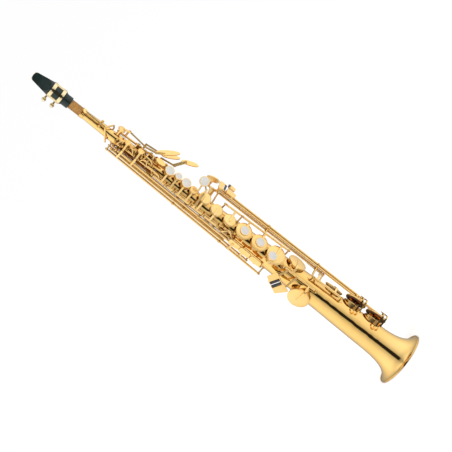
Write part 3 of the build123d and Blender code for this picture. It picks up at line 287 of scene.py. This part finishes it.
def lacquer(name, light, deep, rough=(0.24, 0.38), tint_scale=28.0, handling=260.0,
            ripple=0.02, metal=1.0):
    """Gold-lacquered brass: colour drifts with the lacquer, fingerprints change its gloss, and painted shade
    browns it where pieces crowd together.
    """
    material, tree, shader = principled(name, Metallic=metal, Coat_Weight=0.15, Coat_Roughness=0.04,
                                        Coat_IOR=1.45)
    drift = texture(tree, "ShaderNodeTexNoise", tint_scale, (1, 1, 0.5), Detail=4.0, Roughness=0.55)
    tint = ramp(tree, [(0.3, deep), (0.7, light)], drift.outputs["Fac"])
    # painted shade: the tint is browned where pieces crowd together
    tree.links.new(painted_crevice_shade(tree, tint.outputs["Color"]), shader.inputs["Base Color"])
    prints = texture(tree, "ShaderNodeTexNoise", handling, Detail=6.0, Roughness=0.65)
    gloss = ramp(tree, grey_stops([(0.35, rough[0]), (0.75, rough[1])]), prints.outputs["Fac"])
    tree.links.new(gloss.outputs["Color"], shader.inputs["Roughness"])
    bump(tree, shader, drift.outputs["Fac"], ripple, 0.0006)
    return material


def drawn_steel():
    """Steel rod with the faint lines that drawing leaves; its gold tint is a painted reflection of the brass
    round it.
    """
    material, tree, shader = principled("steel_rod", Metallic=1.0)
    lines = texture(tree, "ShaderNodeTexNoise", 900.0, (1, 1, 0.02), Detail=3.0).outputs["Fac"]
    # painted reflection: the gold colours stand in for the brass the rod reflects; the lines are real
    tint_and_gloss(tree, shader, lines, [(0.35, (0.56, 0.40, 0.17)), (0.65, (0.86, 0.66, 0.33))],
                   [(0.3, 0.14), (0.7, 0.3)])
    bump(tree, shader, lines, 0.1, 0.0001)
    return material


def ebonite():
    material, tree, shader = principled("ebonite", Coat_Weight=0.15, Coat_Roughness=0.1, Coat_IOR=1.4,
                                        Specular_IOR_Level=0.36)
    haze = texture(tree, "ShaderNodeTexNoise", 70.0, (1, 1, 0.4), Detail=5.0).outputs["Fac"]
    tint_and_gloss(tree, shader, haze, [(0.35, (0.004, 0.010, 0.009)), (0.7, (0.009, 0.022, 0.020))],
                   [(0.3, 0.12), (0.75, 0.3)])
    bump(tree, shader, haze, 0.03, 0.0004)
    return material


def cane():
    material, tree, shader = principled("cane")
    grain = texture(tree, "ShaderNodeTexNoise", 1400.0, (1, 1, 0.02), Detail=6.0, Roughness=0.6)
    grain = grain.outputs["Fac"]
    tints = [(0.3, (0.55, 0.38, 0.14)), (0.6, (0.80, 0.64, 0.33)), (0.8, (0.88, 0.76, 0.47))]
    tint_and_gloss(tree, shader, grain, tints, [(0.3, 0.45), (0.7, 0.65)])
    bump(tree, shader, grain, 0.3, 0.0001)
    return material


def cork():
    material, tree, shader = principled("cork")
    cells = texture(tree, "ShaderNodeTexVoronoi", 900.0)
    specks = texture(tree, "ShaderNodeTexNoise", 420.0, (1, 1, 0.5), Detail=6.0, Roughness=0.7)
    mix = blend(tree, cells.outputs["Distance"], 0.5, specks.outputs["Fac"], 0.75)
    tints = [(0.3, (0.085, 0.034, 0.006)), (0.5, (0.26, 0.112, 0.020)), (0.8, (0.39, 0.20, 0.052))]
    tint_and_gloss(tree, shader, mix, tints, [(0.3, 0.7), (0.8, 0.92)])
    bump(tree, shader, mix, 0.5, 0.0003)
    return material


def felt():
    material, tree, shader = principled("felt", Sheen_Weight=0.4, Sheen_Roughness=0.5)
    fibres = texture(tree, "ShaderNodeTexNoise", 2400.0, Detail=6.0, Roughness=0.8).outputs["Fac"]
    tint_and_gloss(tree, shader, fibres, [(0.3, (0.10, 0.04, 0.02)), (0.7, (0.30, 0.15, 0.08))],
                   [(0.3, 0.85), (0.7, 0.98)])
    bump(tree, shader, fibres, 0.6, 0.0003)
    return material


def pearl():
    material, tree, shader = principled("pearl", Coat_Weight=0.8, Coat_Roughness=0.05, Coat_IOR=1.5)
    swirl = texture(tree, "ShaderNodeTexNoise", 330.0, (1, 1, 0.6), Detail=5.0, Roughness=0.5,
                    Distortion=1.6)
    tints = [(0.25, (0.36, 0.37, 0.36)), (0.42, (0.57, 0.52, 0.50)), (0.55, (0.44, 0.46, 0.43)),
             (0.68, (0.60, 0.54, 0.46)), (0.85, (0.48, 0.47, 0.48))]
    tint_and_gloss(tree, shader, swirl.outputs["Fac"], tints, [(0.3, 0.12), (0.7, 0.28)])
    return material


def black_roller():
    material, tree, shader = principled("black_roller", Coat_Weight=0.5, Coat_Roughness=0.08)
    scuff = texture(tree, "ShaderNodeTexNoise", 500.0, Detail=4.0).outputs["Fac"]
    tint_and_gloss(tree, shader, scuff, [(0.35, (0.006, 0.006, 0.006)), (0.75, (0.03, 0.03, 0.032))],
                   [(0.3, 0.18), (0.7, 0.4)])
    return material


def pad_leather():
    material, tree, shader = principled("pad_leather", Specular_IOR_Level=0.4)
    hide = texture(tree, "ShaderNodeTexVoronoi", 1300.0)
    blotch = texture(tree, "ShaderNodeTexNoise", 160.0, Detail=5.0)
    mix = blend(tree, hide.outputs["Distance"], 0.45, blotch.outputs["Fac"], 0.7)
    tints = [(0.3, (0.035, 0.014, 0.008)), (0.55, (0.10, 0.042, 0.022)), (0.8, (0.20, 0.09, 0.045))]
    tint_and_gloss(tree, shader, mix, tints, [(0.3, 0.45), (0.8, 0.7)])
    bump(tree, shader, mix, 0.4, 0.0002)
    return material


def blued_steel():
    material, tree, shader = principled("blued_steel", Metallic=1.0)
    temper = texture(tree, "ShaderNodeTexNoise", 300.0, Detail=3.0).outputs["Fac"]
    tint_and_gloss(tree, shader, temper, [(0.3, (0.05, 0.07, 0.16)), (0.7, (0.16, 0.15, 0.26))],
                   [(0.3, 0.2), (0.7, 0.35)])
    return material


def slot_shadow():
    """Painted shadow: dull dark metal put at the bottom of a screw's slot, where shade falls."""
    material, tree, shader = principled("slot_shadow", Metallic=1.0, Roughness=0.6)
    # painted shadow: noise varies the dark shade colour of the slot
    shadow_mottle = texture(tree, "ShaderNodeTexNoise", 500.0)
    tint = ramp(tree, [(0.3, (0.05, 0.035, 0.02)), (0.7, (0.10, 0.07, 0.04))], shadow_mottle.outputs["Fac"])
    tree.links.new(tint.outputs["Color"], shader.inputs["Base Color"])
    return material


def make_materials():
    """Materials by name: the record's material slots, then two that only scene pieces use."""
    return {
        "lacquered_tube": lacquer("lacquered_tube", (0.97, 0.67, 0.26), (0.93, 0.59, 0.18), (0.05, 0.10),
                                  14.0, 120.0, 0.012),
        "lacquered_keys": lacquer("lacquered_keys", (0.97, 0.69, 0.29), (0.92, 0.59, 0.19), metal=0.8),
        "lacquered_fittings": lacquer("lacquered_fittings", (0.93, 0.64, 0.24), (0.84, 0.53, 0.16),
                                      (0.1, 0.2)),
        "gilt_ligature": lacquer("gilt_ligature", (0.93, 0.80, 0.50), (0.88, 0.71, 0.40), (0.12, 0.2)),
        "steel_rod": drawn_steel(),
        "ebonite": ebonite(),
        "cane": cane(),
        "cork": cork(),
        "felt": felt(),
        "pearl": pearl(),
        "black_roller": black_roller(),
        "pad_leather": pad_leather(),
        "blued_steel": blued_steel(),
        "slot_shadow": slot_shadow(),
    }


# ------------------------------------------------------------------ studio set up, looks put on the CAD nodes
bpy.context.scene.view_settings.view_transform = "Standard"
make_world()
make_floor()
make_tent()
make_light("key_light", (-1.4, -2.0, 1.8), 22.0)
make_light("fill_light", (1.6, -1.6, 1.2), 14.0)
make_camera()

MATERIALS = make_materials()
for node_name, node in NODES.items():
    node.data.materials.clear()
    node.data.materials.append(MATERIALS[SLOT_OF[node_name]])


SEAM_GAP = 2e-6
SHARP_EDGE = math.radians(32.0)


def even_shading(node):
    """Shades a many-banded tube as one smooth wall: bands are joined, real edges stay sharp."""
    joined = node.modifiers.new("joined_bands", "WELD")
    joined.merge_threshold = SEAM_GAP
    edges = node.modifiers.new("real_edges", "EDGE_SPLIT")
    edges.split_angle = SHARP_EDGE
    node.modifiers.new("even_normals", "WEIGHTED_NORMAL")


even_shading(NODES["body_tube"])


# ------------------------------------------------------------------ the instrument's own geometry, in mm
TUBE_TOP = 611.0
TOP_RADIUS = 6.5
TAPER = 0.0286


def surface(z):
    """Outer radius of the tube at height z."""
    return TOP_RADIUS + TAPER * (TUBE_TOP - z)


def outward(angle):
    """Unit vector away from the bore; 0 degrees is the front, 90 the player's left."""
    return Vector((math.sin(math.radians(angle)), -math.cos(math.radians(angle)), 0.0))


def spot(z, angle, lift):
    """Point at a height and bearing, lifted off the tube's wall."""
    return outward(angle) * (surface(z) + lift) + Vector((0, 0, z))


class Rail:
    """A hinge line, read from the record's joint."""

    def __init__(self, joint):
        row = JOINTS[joint]
        axis = Vector(row["axis"])
        self.slope = axis / axis.z
        place = Vector(row["pos_m"]) / MM
        self.foot = place - self.slope * place.z
        self.axis = axis.normalized()

    def at(self, z):
        return self.foot + self.slope * z

    def turn(self, point, degrees):
        return self.foot + Matrix.Rotation(math.radians(degrees), 3, self.axis) @ (point - self.foot)


# key: hole height, bearing, cup radius, lift of the pad's face, degrees open at rest
CUPS = {
    "palm_f_key": (549.0, 60.0, 6.0, 9.2, 0.0),
    "side_e_key": (530.0, 30.0, 4.8, 1.6, 0.0),
    "palm_eb_key": (514.0, 90.0, 5.6, 1.8, 0.0),
    "side_c_key": (507.0, 35.0, 5.4, 1.8, 0.0),
    "palm_d_key": (491.0, 90.0, 6.0, 1.8, 0.0),
    "side_bb_key": (474.0, -138.0, 6.2, 2.0, 0.0),
    "b_key": (456.4, 40.0, 7.6, 2.0, -8.0),
    "bis_key": (440.9, 44.0, 5.6, 2.0, -8.0),
    "a_key": (425.8, 40.0, 7.6, 2.0, -8.0),
    "a_key_small": (410.6, 38.0, 6.6, 2.0, -8.0),
    "g_key": (389.7, 40.0, 10.0, 2.2, -8.0),
    "g_sharp_key": (364.7, 26.0, 10.0, 2.2, 0.0),
    "f_sharp_key": (340.6, 24.0, 10.0, 2.2, 8.0),
    "f_key": (313.7, 24.0, 13.2, 2.2, 8.0),
    "e_key": (284.6, 24.0, 13.2, 2.2, 8.0),
    "d_key": (253.8, 24.0, 15.2, 2.4, 8.0),
    "eb_key": (218.4, 66.0, 15.2, 2.4, 0.0),
    "low_c_key": (186.4, -54.0, 17.4, 2.4, 11.0),
    "low_c_sharp_key": (148.0, 92.0, 15.4, 1.8, 0.0),
    "low_b_key": (109.6, 95.0, 17.4, 1.8, 11.0),
    "low_b_flat_key": (71.0, 95.0, 17.4, 1.8, 11.0),
}
# cups whose pads are CAD nodes
CAD_PADS = ("eb_key", "low_c_key", "low_c_sharp_key", "low_b_key", "low_b_flat_key")


def key_body(name):
    """Body a cup rides on; the A key carries two cups."""
    return name.replace("_small", "")


def pad_place(name):
    """Middle of a pad's face and the way it faces out, at rest."""
    z, angle, _, lift, opened = CUPS[name]
    middle = spot(z, angle, lift)
    tip = middle + outward(angle)
    if opened:
        rail = Rail(key_body(name) + "_hinge")
        middle, tip = rail.turn(middle, opened), rail.turn(tip, opened)
    return middle, (tip - middle).normalized()


# ------------------------------------------------------------------ mesh helpers
CREASE_ANGLE = math.radians(38.0)


def frame_of(origin, axis):
    """Matrix in metres whose Z is the axis, for shapes drawn in millimetres."""
    turn = axis.to_track_quat("Z", "Y").to_matrix().to_4x4()
    return Matrix.Translation(origin * MM) @ turn @ Matrix.Scale(MM, 4)


def lathe(bm, profile, origin, axis, segments=40):
    """Turned shape from (radius, height) points; it closes on the axis or back on its first point."""
    place = frame_of(origin, axis)
    rings = []
    for radius, height in profile:
        if radius < 1e-6:
            rings.append([bm.verts.new(place @ Vector((0, 0, height)))])
            continue
        ring = []
        for step in range(segments):
            turn = 2 * math.pi * step / segments
            corner = Vector((radius * math.cos(turn), radius * math.sin(turn), height))
            ring.append(bm.verts.new(place @ corner))
        rings.append(ring)
    if len(rings[0]) > 1 and len(rings[-1]) > 1:
        rings.append(rings[0])
    for low, high in zip(rings, rings[1:]):
        for step in range(segments):
            after = (step + 1) % segments
            corners = [low[step % len(low)], low[after % len(low)],
                       high[after % len(high)], high[step % len(high)]]
            corners = [v for i, v in enumerate(corners) if v not in corners[:i]]
            if len(corners) > 2:
                bm.faces.new(corners)


def ring_profile(radius, thick, height, steps):
    """Round section of a ring, as a closed profile."""
    turns = [2 * math.pi * i / steps for i in range(steps)]
    return [(radius + thick * math.cos(turn), height + thick * math.sin(turn)) for turn in turns]


def curve_through(points, steps=6):
    """Smooth run of points through the given ones."""
    run = [points[0]] + list(points) + [points[-1]]
    curve = []
    for a, b, c, d in zip(run, run[1:], run[2:], run[3:]):
        for step in range(steps):
            t = step / steps
            curve.append(0.5 * ((2 * b) + (c - a) * t + (2 * a - 5 * b + 4 * c - d) * t ** 2
                                + (3 * b - a - 3 * c + d) * t ** 3))
    curve.append(points[-1])
    return curve


def wire(bm, points, radius, sides):
    """Round wire through points, with closed ends; radius may be one number or one for each point."""
    rings = []
    across = None
    for index, point in enumerate(points):
        ahead = points[min(index + 1, len(points) - 1)] - points[max(index - 1, 0)]
        ahead.normalize()
        if across is None:
            across = ahead.orthogonal().normalized()
        across = (across - ahead * across.dot(ahead)).normalized()
        other = ahead.cross(across)
        thick = radius[index] if isinstance(radius, list) else radius
        rings.append([bm.verts.new((point + (across * math.cos(2 * math.pi * k / sides)
                                             + other * math.sin(2 * math.pi * k / sides)) * thick) * MM)
                      for k in range(sides)])
    for low, high in zip(rings, rings[1:]):
        for k in range(sides):
            bm.faces.new([low[k], low[(k + 1) % sides], high[(k + 1) % sides], high[k]])
    bm.faces.new(list(reversed(rings[0])))
    bm.faces.new(rings[-1])


def block(bm, origin, along, across, size, bevel):
    """Bevelled block: size along, across and out."""
    along = along.normalized()
    across = (across - along * across.dot(along)).normalized()
    out = along.cross(across)
    turn = Matrix((along, across, out)).transposed().to_4x4()
    made = bmesh.ops.create_cube(bm, size=1.0, matrix=Matrix.Translation(origin * MM) @ turn
                                 @ Matrix.Diagonal((*[side * MM for side in size], 1.0)))
    edges = {edge for vert in made["verts"] for edge in vert.link_edges}
    bmesh.ops.bevel(bm, geom=list(edges), offset=bevel * MM, segments=2, affect="EDGES", profile=0.6)


def piece(name, bm, slot, body, material=None):
    """Finished piece from a mesh, riding on a body."""
    bmesh.ops.recalc_face_normals(bm, faces=bm.faces)
    mesh = bpy.data.meshes.new(name)
    bm.to_mesh(mesh)
    bm.free()
    mesh.shade_smooth()
    mesh.set_sharp_from_angle(angle=CREASE_ANGLE)
    mesh.materials.append(material or MATERIALS[slot])
    obj = bpy.data.objects.new(name, mesh)
    bpy.context.scene.collection.objects.link(obj)
    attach(obj, body)


# ------------------------------------------------------------------ tone holes, pads and resonators
PAD_BACK = 2.18
# how far a chimney's rim sits inside its cup
SEAT_INSET = 2.25
EDGE_INSET = 0.74
# the palm F hole is a narrow, tall pip
TALL_PIP = 5.0
PIP_RIM = 2.55
# cups over this radius carry the wider resonator
LARGE_CUP = 16.0


def tone_hole_rims():
    """Rolled rims on the tone holes' chimneys."""
    bm = bmesh.new()
    for z, angle, cup, lift, _ in CUPS.values():
        radius = cup - SEAT_INSET if lift < TALL_PIP else PIP_RIM
        lathe(bm, ring_profile(radius, 0.62, -0.64, 12), spot(z, angle, lift), outward(angle), 56)
    piece("tone_hole_rims", bm, "lacquered_tube", "body")


def pad_of(name):
    """Leather pad with its seat ring, a metal resonator and its rivet."""
    middle, normal = pad_place(name)
    cup = CUPS[name][2]
    if name not in CAD_PADS:
        bm = bmesh.new()
        seat, edge = cup - SEAT_INSET, cup - EDGE_INSET
        profile = [(0, 0.16), (seat - 0.9, 0.16), (seat - 0.35, 0.10), (seat, 0.22), (seat + 0.4, 0.12),
                   (edge - 0.55, 0.14), (edge - 0.15, 0.32), (edge, 0.75), (edge, PAD_BACK), (0, PAD_BACK)]
        lathe(bm, profile, middle, normal, 48)
        piece(name + "_leather", bm, "pad_leather", key_body(name))
    bm = bmesh.new()
    radius = cup * (0.58 if cup > LARGE_CUP else 0.46)
    dome = [(0, -0.75), (radius * 0.35, -0.68), (radius * 0.7, -0.5), (radius * 0.93, -0.22),
            (radius, 0.0), (radius, 0.3), (0, 0.3)]
    lathe(bm, dome, middle, normal, 40)
    lathe(bm, [(0, -1.25), (0.6, -1.1), (1.0, -0.7), (1.05, -0.4), (0, -0.4)], middle, normal, 20)
    piece(name + "_resonator", bm, "lacquered_fittings", key_body(name))


# ------------------------------------------------------------------ pivot screws and springs
# key whose hinge gives the rod's line: heights of the rod's end posts, radius of their balls
RAIL_ENDS = {
    "b_key": (349.0, 474.0, 2.2), "side_e_key": (253.0, 547.5, 2.2), "side_c_key": (282.5, 543.0, 2.2),
    "side_bb_key": (261.5, 537.5, 2.2), "f_key": (241.5, 359.5, 2.2), "palm_d_key": (470.0, 549.0, 2.2),
    "front_f_key": (464.0, 481.6, 2.2), "eb_key": (173.0, 234.0, 2.2), "low_c_sharp_key": (134.0, 188.0, 2.2),
    "g_sharp_lever": (381.6, 401.0, 2.2), "low_c_sharp_lever": (169.4, 382.6, 1.9),
    "low_b_key": (100.4, 373.4, 1.9), "low_b_flat_key": (54.5, 373.4, 1.9),
}


# how far out of its ball a screw head starts, as a share of the ball's radius
HEAD_SEAT = 0.80
SLOT_HEIGHT = 0.80
# the slots of neighbouring screws point different ways
SLOT_TURN = 37.0
SLOT_TURN_TOP = 40.0


def pivot_screws():
    """Slotted screw heads in the outer faces of the end posts, each slot holding a painted shadow."""
    heads, slots = bmesh.new(), bmesh.new()
    for index, (key, (low, high, ball)) in enumerate(RAIL_ENDS.items()):
        rail = Rail(key + "_hinge")
        for z, way in ((low, -1), (high, 1)):
            out = rail.axis * way
            face = rail.at(z) + out * (ball * HEAD_SEAT)
            lathe(heads, [(0, 0.86), (0.85, 0.86), (1.15, 0.6), (1.2, 0.0), (0, 0)], face, out, 20)
            side = outward(SLOT_TURN * index + (SLOT_TURN_TOP if way > 0 else 0.0))
            # each slot is a dark bar painted as the shadow inside it
            block(slots, face + out * SLOT_HEIGHT, side, out, (1.6, 0.22, 0.3), 0.03)
    piece("pivot_screws", heads, "steel_rod", "body")
    piece("pivot_screw_slot_shadows", slots, "steel_rod", "body", MATERIALS["slot_shadow"])


# key: post height, end height of its needle spring
SPRINGS = {
    "b_key": (474.0, 457.0), "bis_key": (448.0, 438.0), "a_key": (432.6, 414.0), "g_key": (402.0, 384.0),
    "g_sharp_key": (377.0, 357.0), "f_sharp_key": (359.5, 338.0), "f_key": (328.5, 306.0),
    "d_key": (241.5, 262.0), "eb_key": (234.0, 221.0), "low_c_key": (173.0, 195.0),
    "low_c_sharp_key": (188.0, 160.0), "palm_f_key": (549.0, 534.0), "palm_eb_key": (499.5, 516.0),
    "palm_d_key": (470.0, 486.0),
    "side_e_key": (547.5, 515.0), "side_c_key": (543.0, 516.0), "side_bb_key": (537.5, 511.0),
    "low_b_key": (373.4, 340.0), "low_b_flat_key": (54.5, 86.0), "low_c_sharp_lever": (169.4, 200.0),
}


def needle_springs():
    """Blued needle springs that lean on the keys' hinge tubes."""
    bm = bmesh.new()
    for key, (post_z, tip_z) in SPRINGS.items():
        rail = Rail(key + "_hinge")
        start, end = rail.at(post_z), rail.at(tip_z)
        radial = Vector((start.x, start.y, 0)).normalized()
        side = rail.axis.cross(radial).normalized()
        lean = (radial * -0.55 + side * 0.84).normalized()
        points = [start + lean * 1.5, start.lerp(end, 0.35) + lean * 2.25,
                  start.lerp(end, 0.75) + lean * 2.35, end + lean * 2.2]
        wire(bm, points, [0.32, 0.3, 0.26, 0.2], 8)
    piece("needle_springs", bm, "steel_rod", "body", MATERIALS["blued_steel"])


# ------------------------------------------------------------------ ribs, collars and screws on the body
# bearing, lower and upper end heights, width
RIBS = [
    (-30.0, 344.0, 479.0, 6.4), (130.0, 464.0, 554.0, 5.6), (125.0, 160.0, 389.0, 6.6),
    (43.0, 128.0, 194.0, 6.0), (7.0, 167.0, 240.0, 6.4), (-100.0, 412.0, 428.0, 6.0),
    (-75.0, 397.0, 413.0, 6.0), (-53.0, 372.0, 388.0, 6.0), (-100.0, 322.0, 338.0, 6.0),
]
RIB_STEP = 6.0
RIB_CROWN = 0.62
RIB_ROOT = -0.3


def ribs():
    """Thin straps soldered along the tube under the rows of posts."""
    bm = bmesh.new()
    for angle, low, high, width in RIBS:
        rows = []
        count = max(6, int((high - low) / RIB_STEP))
        for step in range(count + 1):
            z = low + (high - low) * (step / count)
            to_end = min(z - low, high - z)
            half = width / 2
            if to_end < half:
                half *= min(1.0, 0.25 + to_end / (width * 0.55))
            row = [bm.verts.new(spot(z, angle - math.degrees(half / surface(z)), RIB_ROOT) * MM)]
            for k in range(7):
                across = k / 3 - 1
                bearing = angle + math.degrees(across * half / surface(z))
                row.append(bm.verts.new(spot(z, bearing, RIB_CROWN - 0.22 * abs(across) ** 4) * MM))
            row.append(bm.verts.new(spot(z, angle + math.degrees(half / surface(z)), RIB_ROOT) * MM))
            rows.append(row)
        for low_row, high_row in zip(rows, rows[1:]):
            for k in range(len(low_row) - 1):
                bm.faces.new([low_row[k], low_row[k + 1], high_row[k + 1], high_row[k]])
            bm.faces.new([low_row[-1], low_row[0], high_row[0], high_row[-1]])
        bm.faces.new(rows[0])
        bm.faces.new(list(reversed(rows[-1])))
    piece("post_ribs", bm, "lacquered_fittings", "body")


# height and bearing of the neck collar's screw
COLLAR_SCREW = (608.4, -12.0)
# height, bearing and lift of the octave pips
PIPS = [(608.0, 27.0, 1.6), (512.0, -150.0, 1.2)]


def body_rings():
    """Neck collar with its screw, and the collars of the octave pips."""
    bm = bmesh.new()
    collar = [(7.0, 605.0), (7.6, 605.5), (7.75, 606.3), (7.5, 607.0), (7.5, 610.2), (7.9, 610.8),
              (7.9, 611.8), (7.0, 612.0), (6.2, 611.5), (6.2, 605.0)]
    lathe(bm, collar, Vector((0, 0, 0)), Vector((0, 0, 1)), 64)
    wire(bm, [spot(*COLLAR_SCREW, 0.6), spot(*COLLAR_SCREW, 3.6)], 1.5, 20)
    lathe(bm, [(0, 1.9), (1.3, 1.8), (2.3, 1.3), (2.6, 0.5), (2.3, -0.4), (1.2, -0.9), (0, -0.9)],
          spot(*COLLAR_SCREW, 4.0), outward(COLLAR_SCREW[1]), 32)
    piece("neck_collar", bm, "lacquered_fittings", "body")
    bm = bmesh.new()
    for z, angle, lift in PIPS:
        lathe(bm, [(1.9, -2.6), (3.4, -2.6), (3.2, -1.2), (2.3, -0.6), (2.2, 0.4), (1.9, 0.5)],
              spot(z, angle, lift), outward(angle), 32)
    piece("pip_collars", bm, "lacquered_fittings", "body")


# ------------------------------------------------------------------ linkage and stays
# bearing, lift, lower and upper post heights of the short linkage rods on the front of the tube
LINKS = [
    (3.0, 5.2, 479.5, 501.0), (24.0, 4.4, 483.5, 498.0), (-17.0, 4.0, 481.0, 503.0),
    (12.0, 4.4, 513.6, 523.0), (-14.0, 4.2, 511.5, 525.5), (-22.0, 4.2, 536.0, 546.0),
    (8.0, 4.4, 536.8, 545.0), (56.0, 4.6, 483.0, 499.0), (-44.0, 3.4, 322.0, 345.5),
    (-16.0, 4.6, 326.0, 343.0), (-68.0, 3.4, 352.0, 368.0),
]
# each lever as (height, bearing, lift) points, then its radius
LINK_LEVERS = [
    ([(487.0, -10.0, 7.6), (474.0, -12.0, 7.8), (466.0, -14.0, 7.6), (463.0, -22.0, 6.4)], 1.25),
    ([(498.0, 3.0, 5.2), (497.0, 14.0, 8.2), (496.0, 34.0, 8.4), (494.0, 52.0, 6.4)], 1.1),
    ([(493.0, 24.0, 4.4), (491.0, 10.0, 7.6), (490.0, -6.0, 7.0), (487.0, -14.0, 5.0)], 1.1),
    ([(485.5, 24.0, 4.4), (486.5, 38.0, 7.0), (488.0, 50.0, 8.0), (492.0, 58.0, 7.4)], 1.0),
    ([(482.0, 3.0, 5.4), (484.5, 12.0, 8.6), (490.0, 19.0, 9.4), (497.5, 22.0, 8.0)], 1.0),
    ([(500.0, -17.0, 4.2), (499.0, -4.0, 7.4), (495.0, 4.0, 8.6), (491.0, 3.0, 7.6)], 1.0),
    ([(521.0, 12.0, 4.4), (519.0, 28.0, 7.0), (518.0, 46.0, 7.2), (516.5, 62.0, 5.2)], 1.1),
    ([(515.0, -14.0, 4.2), (516.5, -2.0, 7.2), (519.5, 8.0, 7.6), (522.4, 11.0, 6.2)], 1.0),
    ([(543.0, -22.0, 4.2), (541.5, -8.0, 6.6), (540.0, 4.0, 6.6), (538.5, 8.0, 5.2)], 1.0),
    ([(341.0, -44.0, 3.6), (340.0, -36.0, 6.4), (337.0, -26.0, 7.6), (333.0, -17.0, 6.2)], 1.2),
    ([(326.0, -44.0, 3.6), (328.5, -58.0, 3.2), (333.0, -72.0, 3.6), (340.0, -84.0, 3.2)], 1.2),
    ([(365.0, -68.0, 3.4), (363.0, -56.0, 2.4), (357.0, -46.0, 2.4), (350.0, -42.0, 2.8)], 1.2),
    ([(329.0, -16.0, 4.6), (325.0, -24.0, 7.0), (320.0, -33.0, 6.4), (317.0, -42.0, 4.4)], 1.2),
]
# height, bearing and lift of the felt stops under the linkage levers
STOPS = [
    (333.0, -30.0, 0.6), (352.0, -54.0, 0.6), (508.5, -30.0, 0.6), (488.0, -28.0, 0.6),
    (517.0, 3.0, 0.6), (539.5, -8.0, 0.6), (474.0, -10.0, 0.6), (486.0, 40.0, 0.6),
]
LINK_BALL = 1.9
# how far from a post's middle the sleeve between two posts begins
SLEEVE_START = 2.3


def link_post(bm, z, bearing, lift):
    """Turned post with a foot, a waisted stem and a ball."""
    profile = [(0, -0.4), (2.6, -0.4), (2.6, 0.5), (1.6, 0.9), (1.05, 1.5), (1.05, lift - 1.6)]
    for step in range(1, 8):
        turn = math.pi * (step / 8 * 0.82 + 0.18)
        profile.append((LINK_BALL * math.sin(turn), lift - LINK_BALL * math.cos(turn)))
    profile.append((0, lift + LINK_BALL))
    lathe(bm, profile, spot(z, bearing, 0.0), outward(bearing), 24)


def link_sleeve(bm, low, high, bearing, lift):
    """Hinge tube between two posts, with a collar at each end."""
    start, end = spot(low, bearing, lift), spot(high, bearing, lift)
    along = (end - start).normalized()
    length = (end - start).length - 2 * SLEEVE_START
    profile = [(0, 0), (1.85, 0), (1.85, 1.1), (1.5, 1.4), (1.5, length - 1.4), (1.85, length - 1.1),
               (1.85, length), (0, length)]
    lathe(bm, profile, start + along * SLEEVE_START, along, 24)


def front_linkage():
    """Posts, rods and bent levers that sit between the palm keys and the side keys' rods."""
    bm = bmesh.new()
    for bearing, lift, low, high in LINKS:
        link_post(bm, low, bearing, lift)
        link_post(bm, high, bearing, lift)
    piece("linkage_posts", bm, "lacquered_fittings", "body")
    bm = bmesh.new()
    for bearing, lift, low, high in LINKS:
        link_sleeve(bm, low, high, bearing, lift)
    piece("linkage_rods", bm, "lacquered_keys", "body")
    bm = bmesh.new()
    for points, radius in LINK_LEVERS:
        wire(bm, curve_through([spot(*point) for point in points]), radius, 12)
    piece("linkage_levers", bm, "lacquered_keys", "body")
    bm = bmesh.new()
    for z, bearing, lift in STOPS:
        lathe(bm, [(0, -0.6), (2.1, -0.6), (2.3, 0.2), (2.2, 1.6), (1.7, 2.1), (0, 2.2)],
              spot(z, bearing, lift), outward(bearing), 24)
    piece("linkage_stops", bm, "felt", "body")


# bearing, lift, radius, lower and upper end heights of the stays that tie the side posts together
STAYS = [(-100.0, 5.6, 1.15, 326.0, 550.0), (-75.0, 2.6, 1.15, 402.0, 546.0), (-53.0, 2.2, 0.9, 377.0, 540.0)]
STAY_STEPS = 8


def side_stays():
    """Thin rods through the stems of the side posts."""
    bm = bmesh.new()
    for bearing, lift, radius, low, high in STAYS:
        heights = [low + (high - low) * step / STAY_STEPS for step in range(STAY_STEPS + 1)]
        wire(bm, [spot(z, bearing, lift) for z in heights], radius, 14)
    piece("side_stays", bm, "lacquered_fittings", "body")


# ------------------------------------------------------------------ build the pieces
tone_hole_rims()
for cup_name in CUPS:
    pad_of(cup_name)
pivot_screws()
needle_springs()
ribs()
body_rings()
front_linkage()
side_stays()
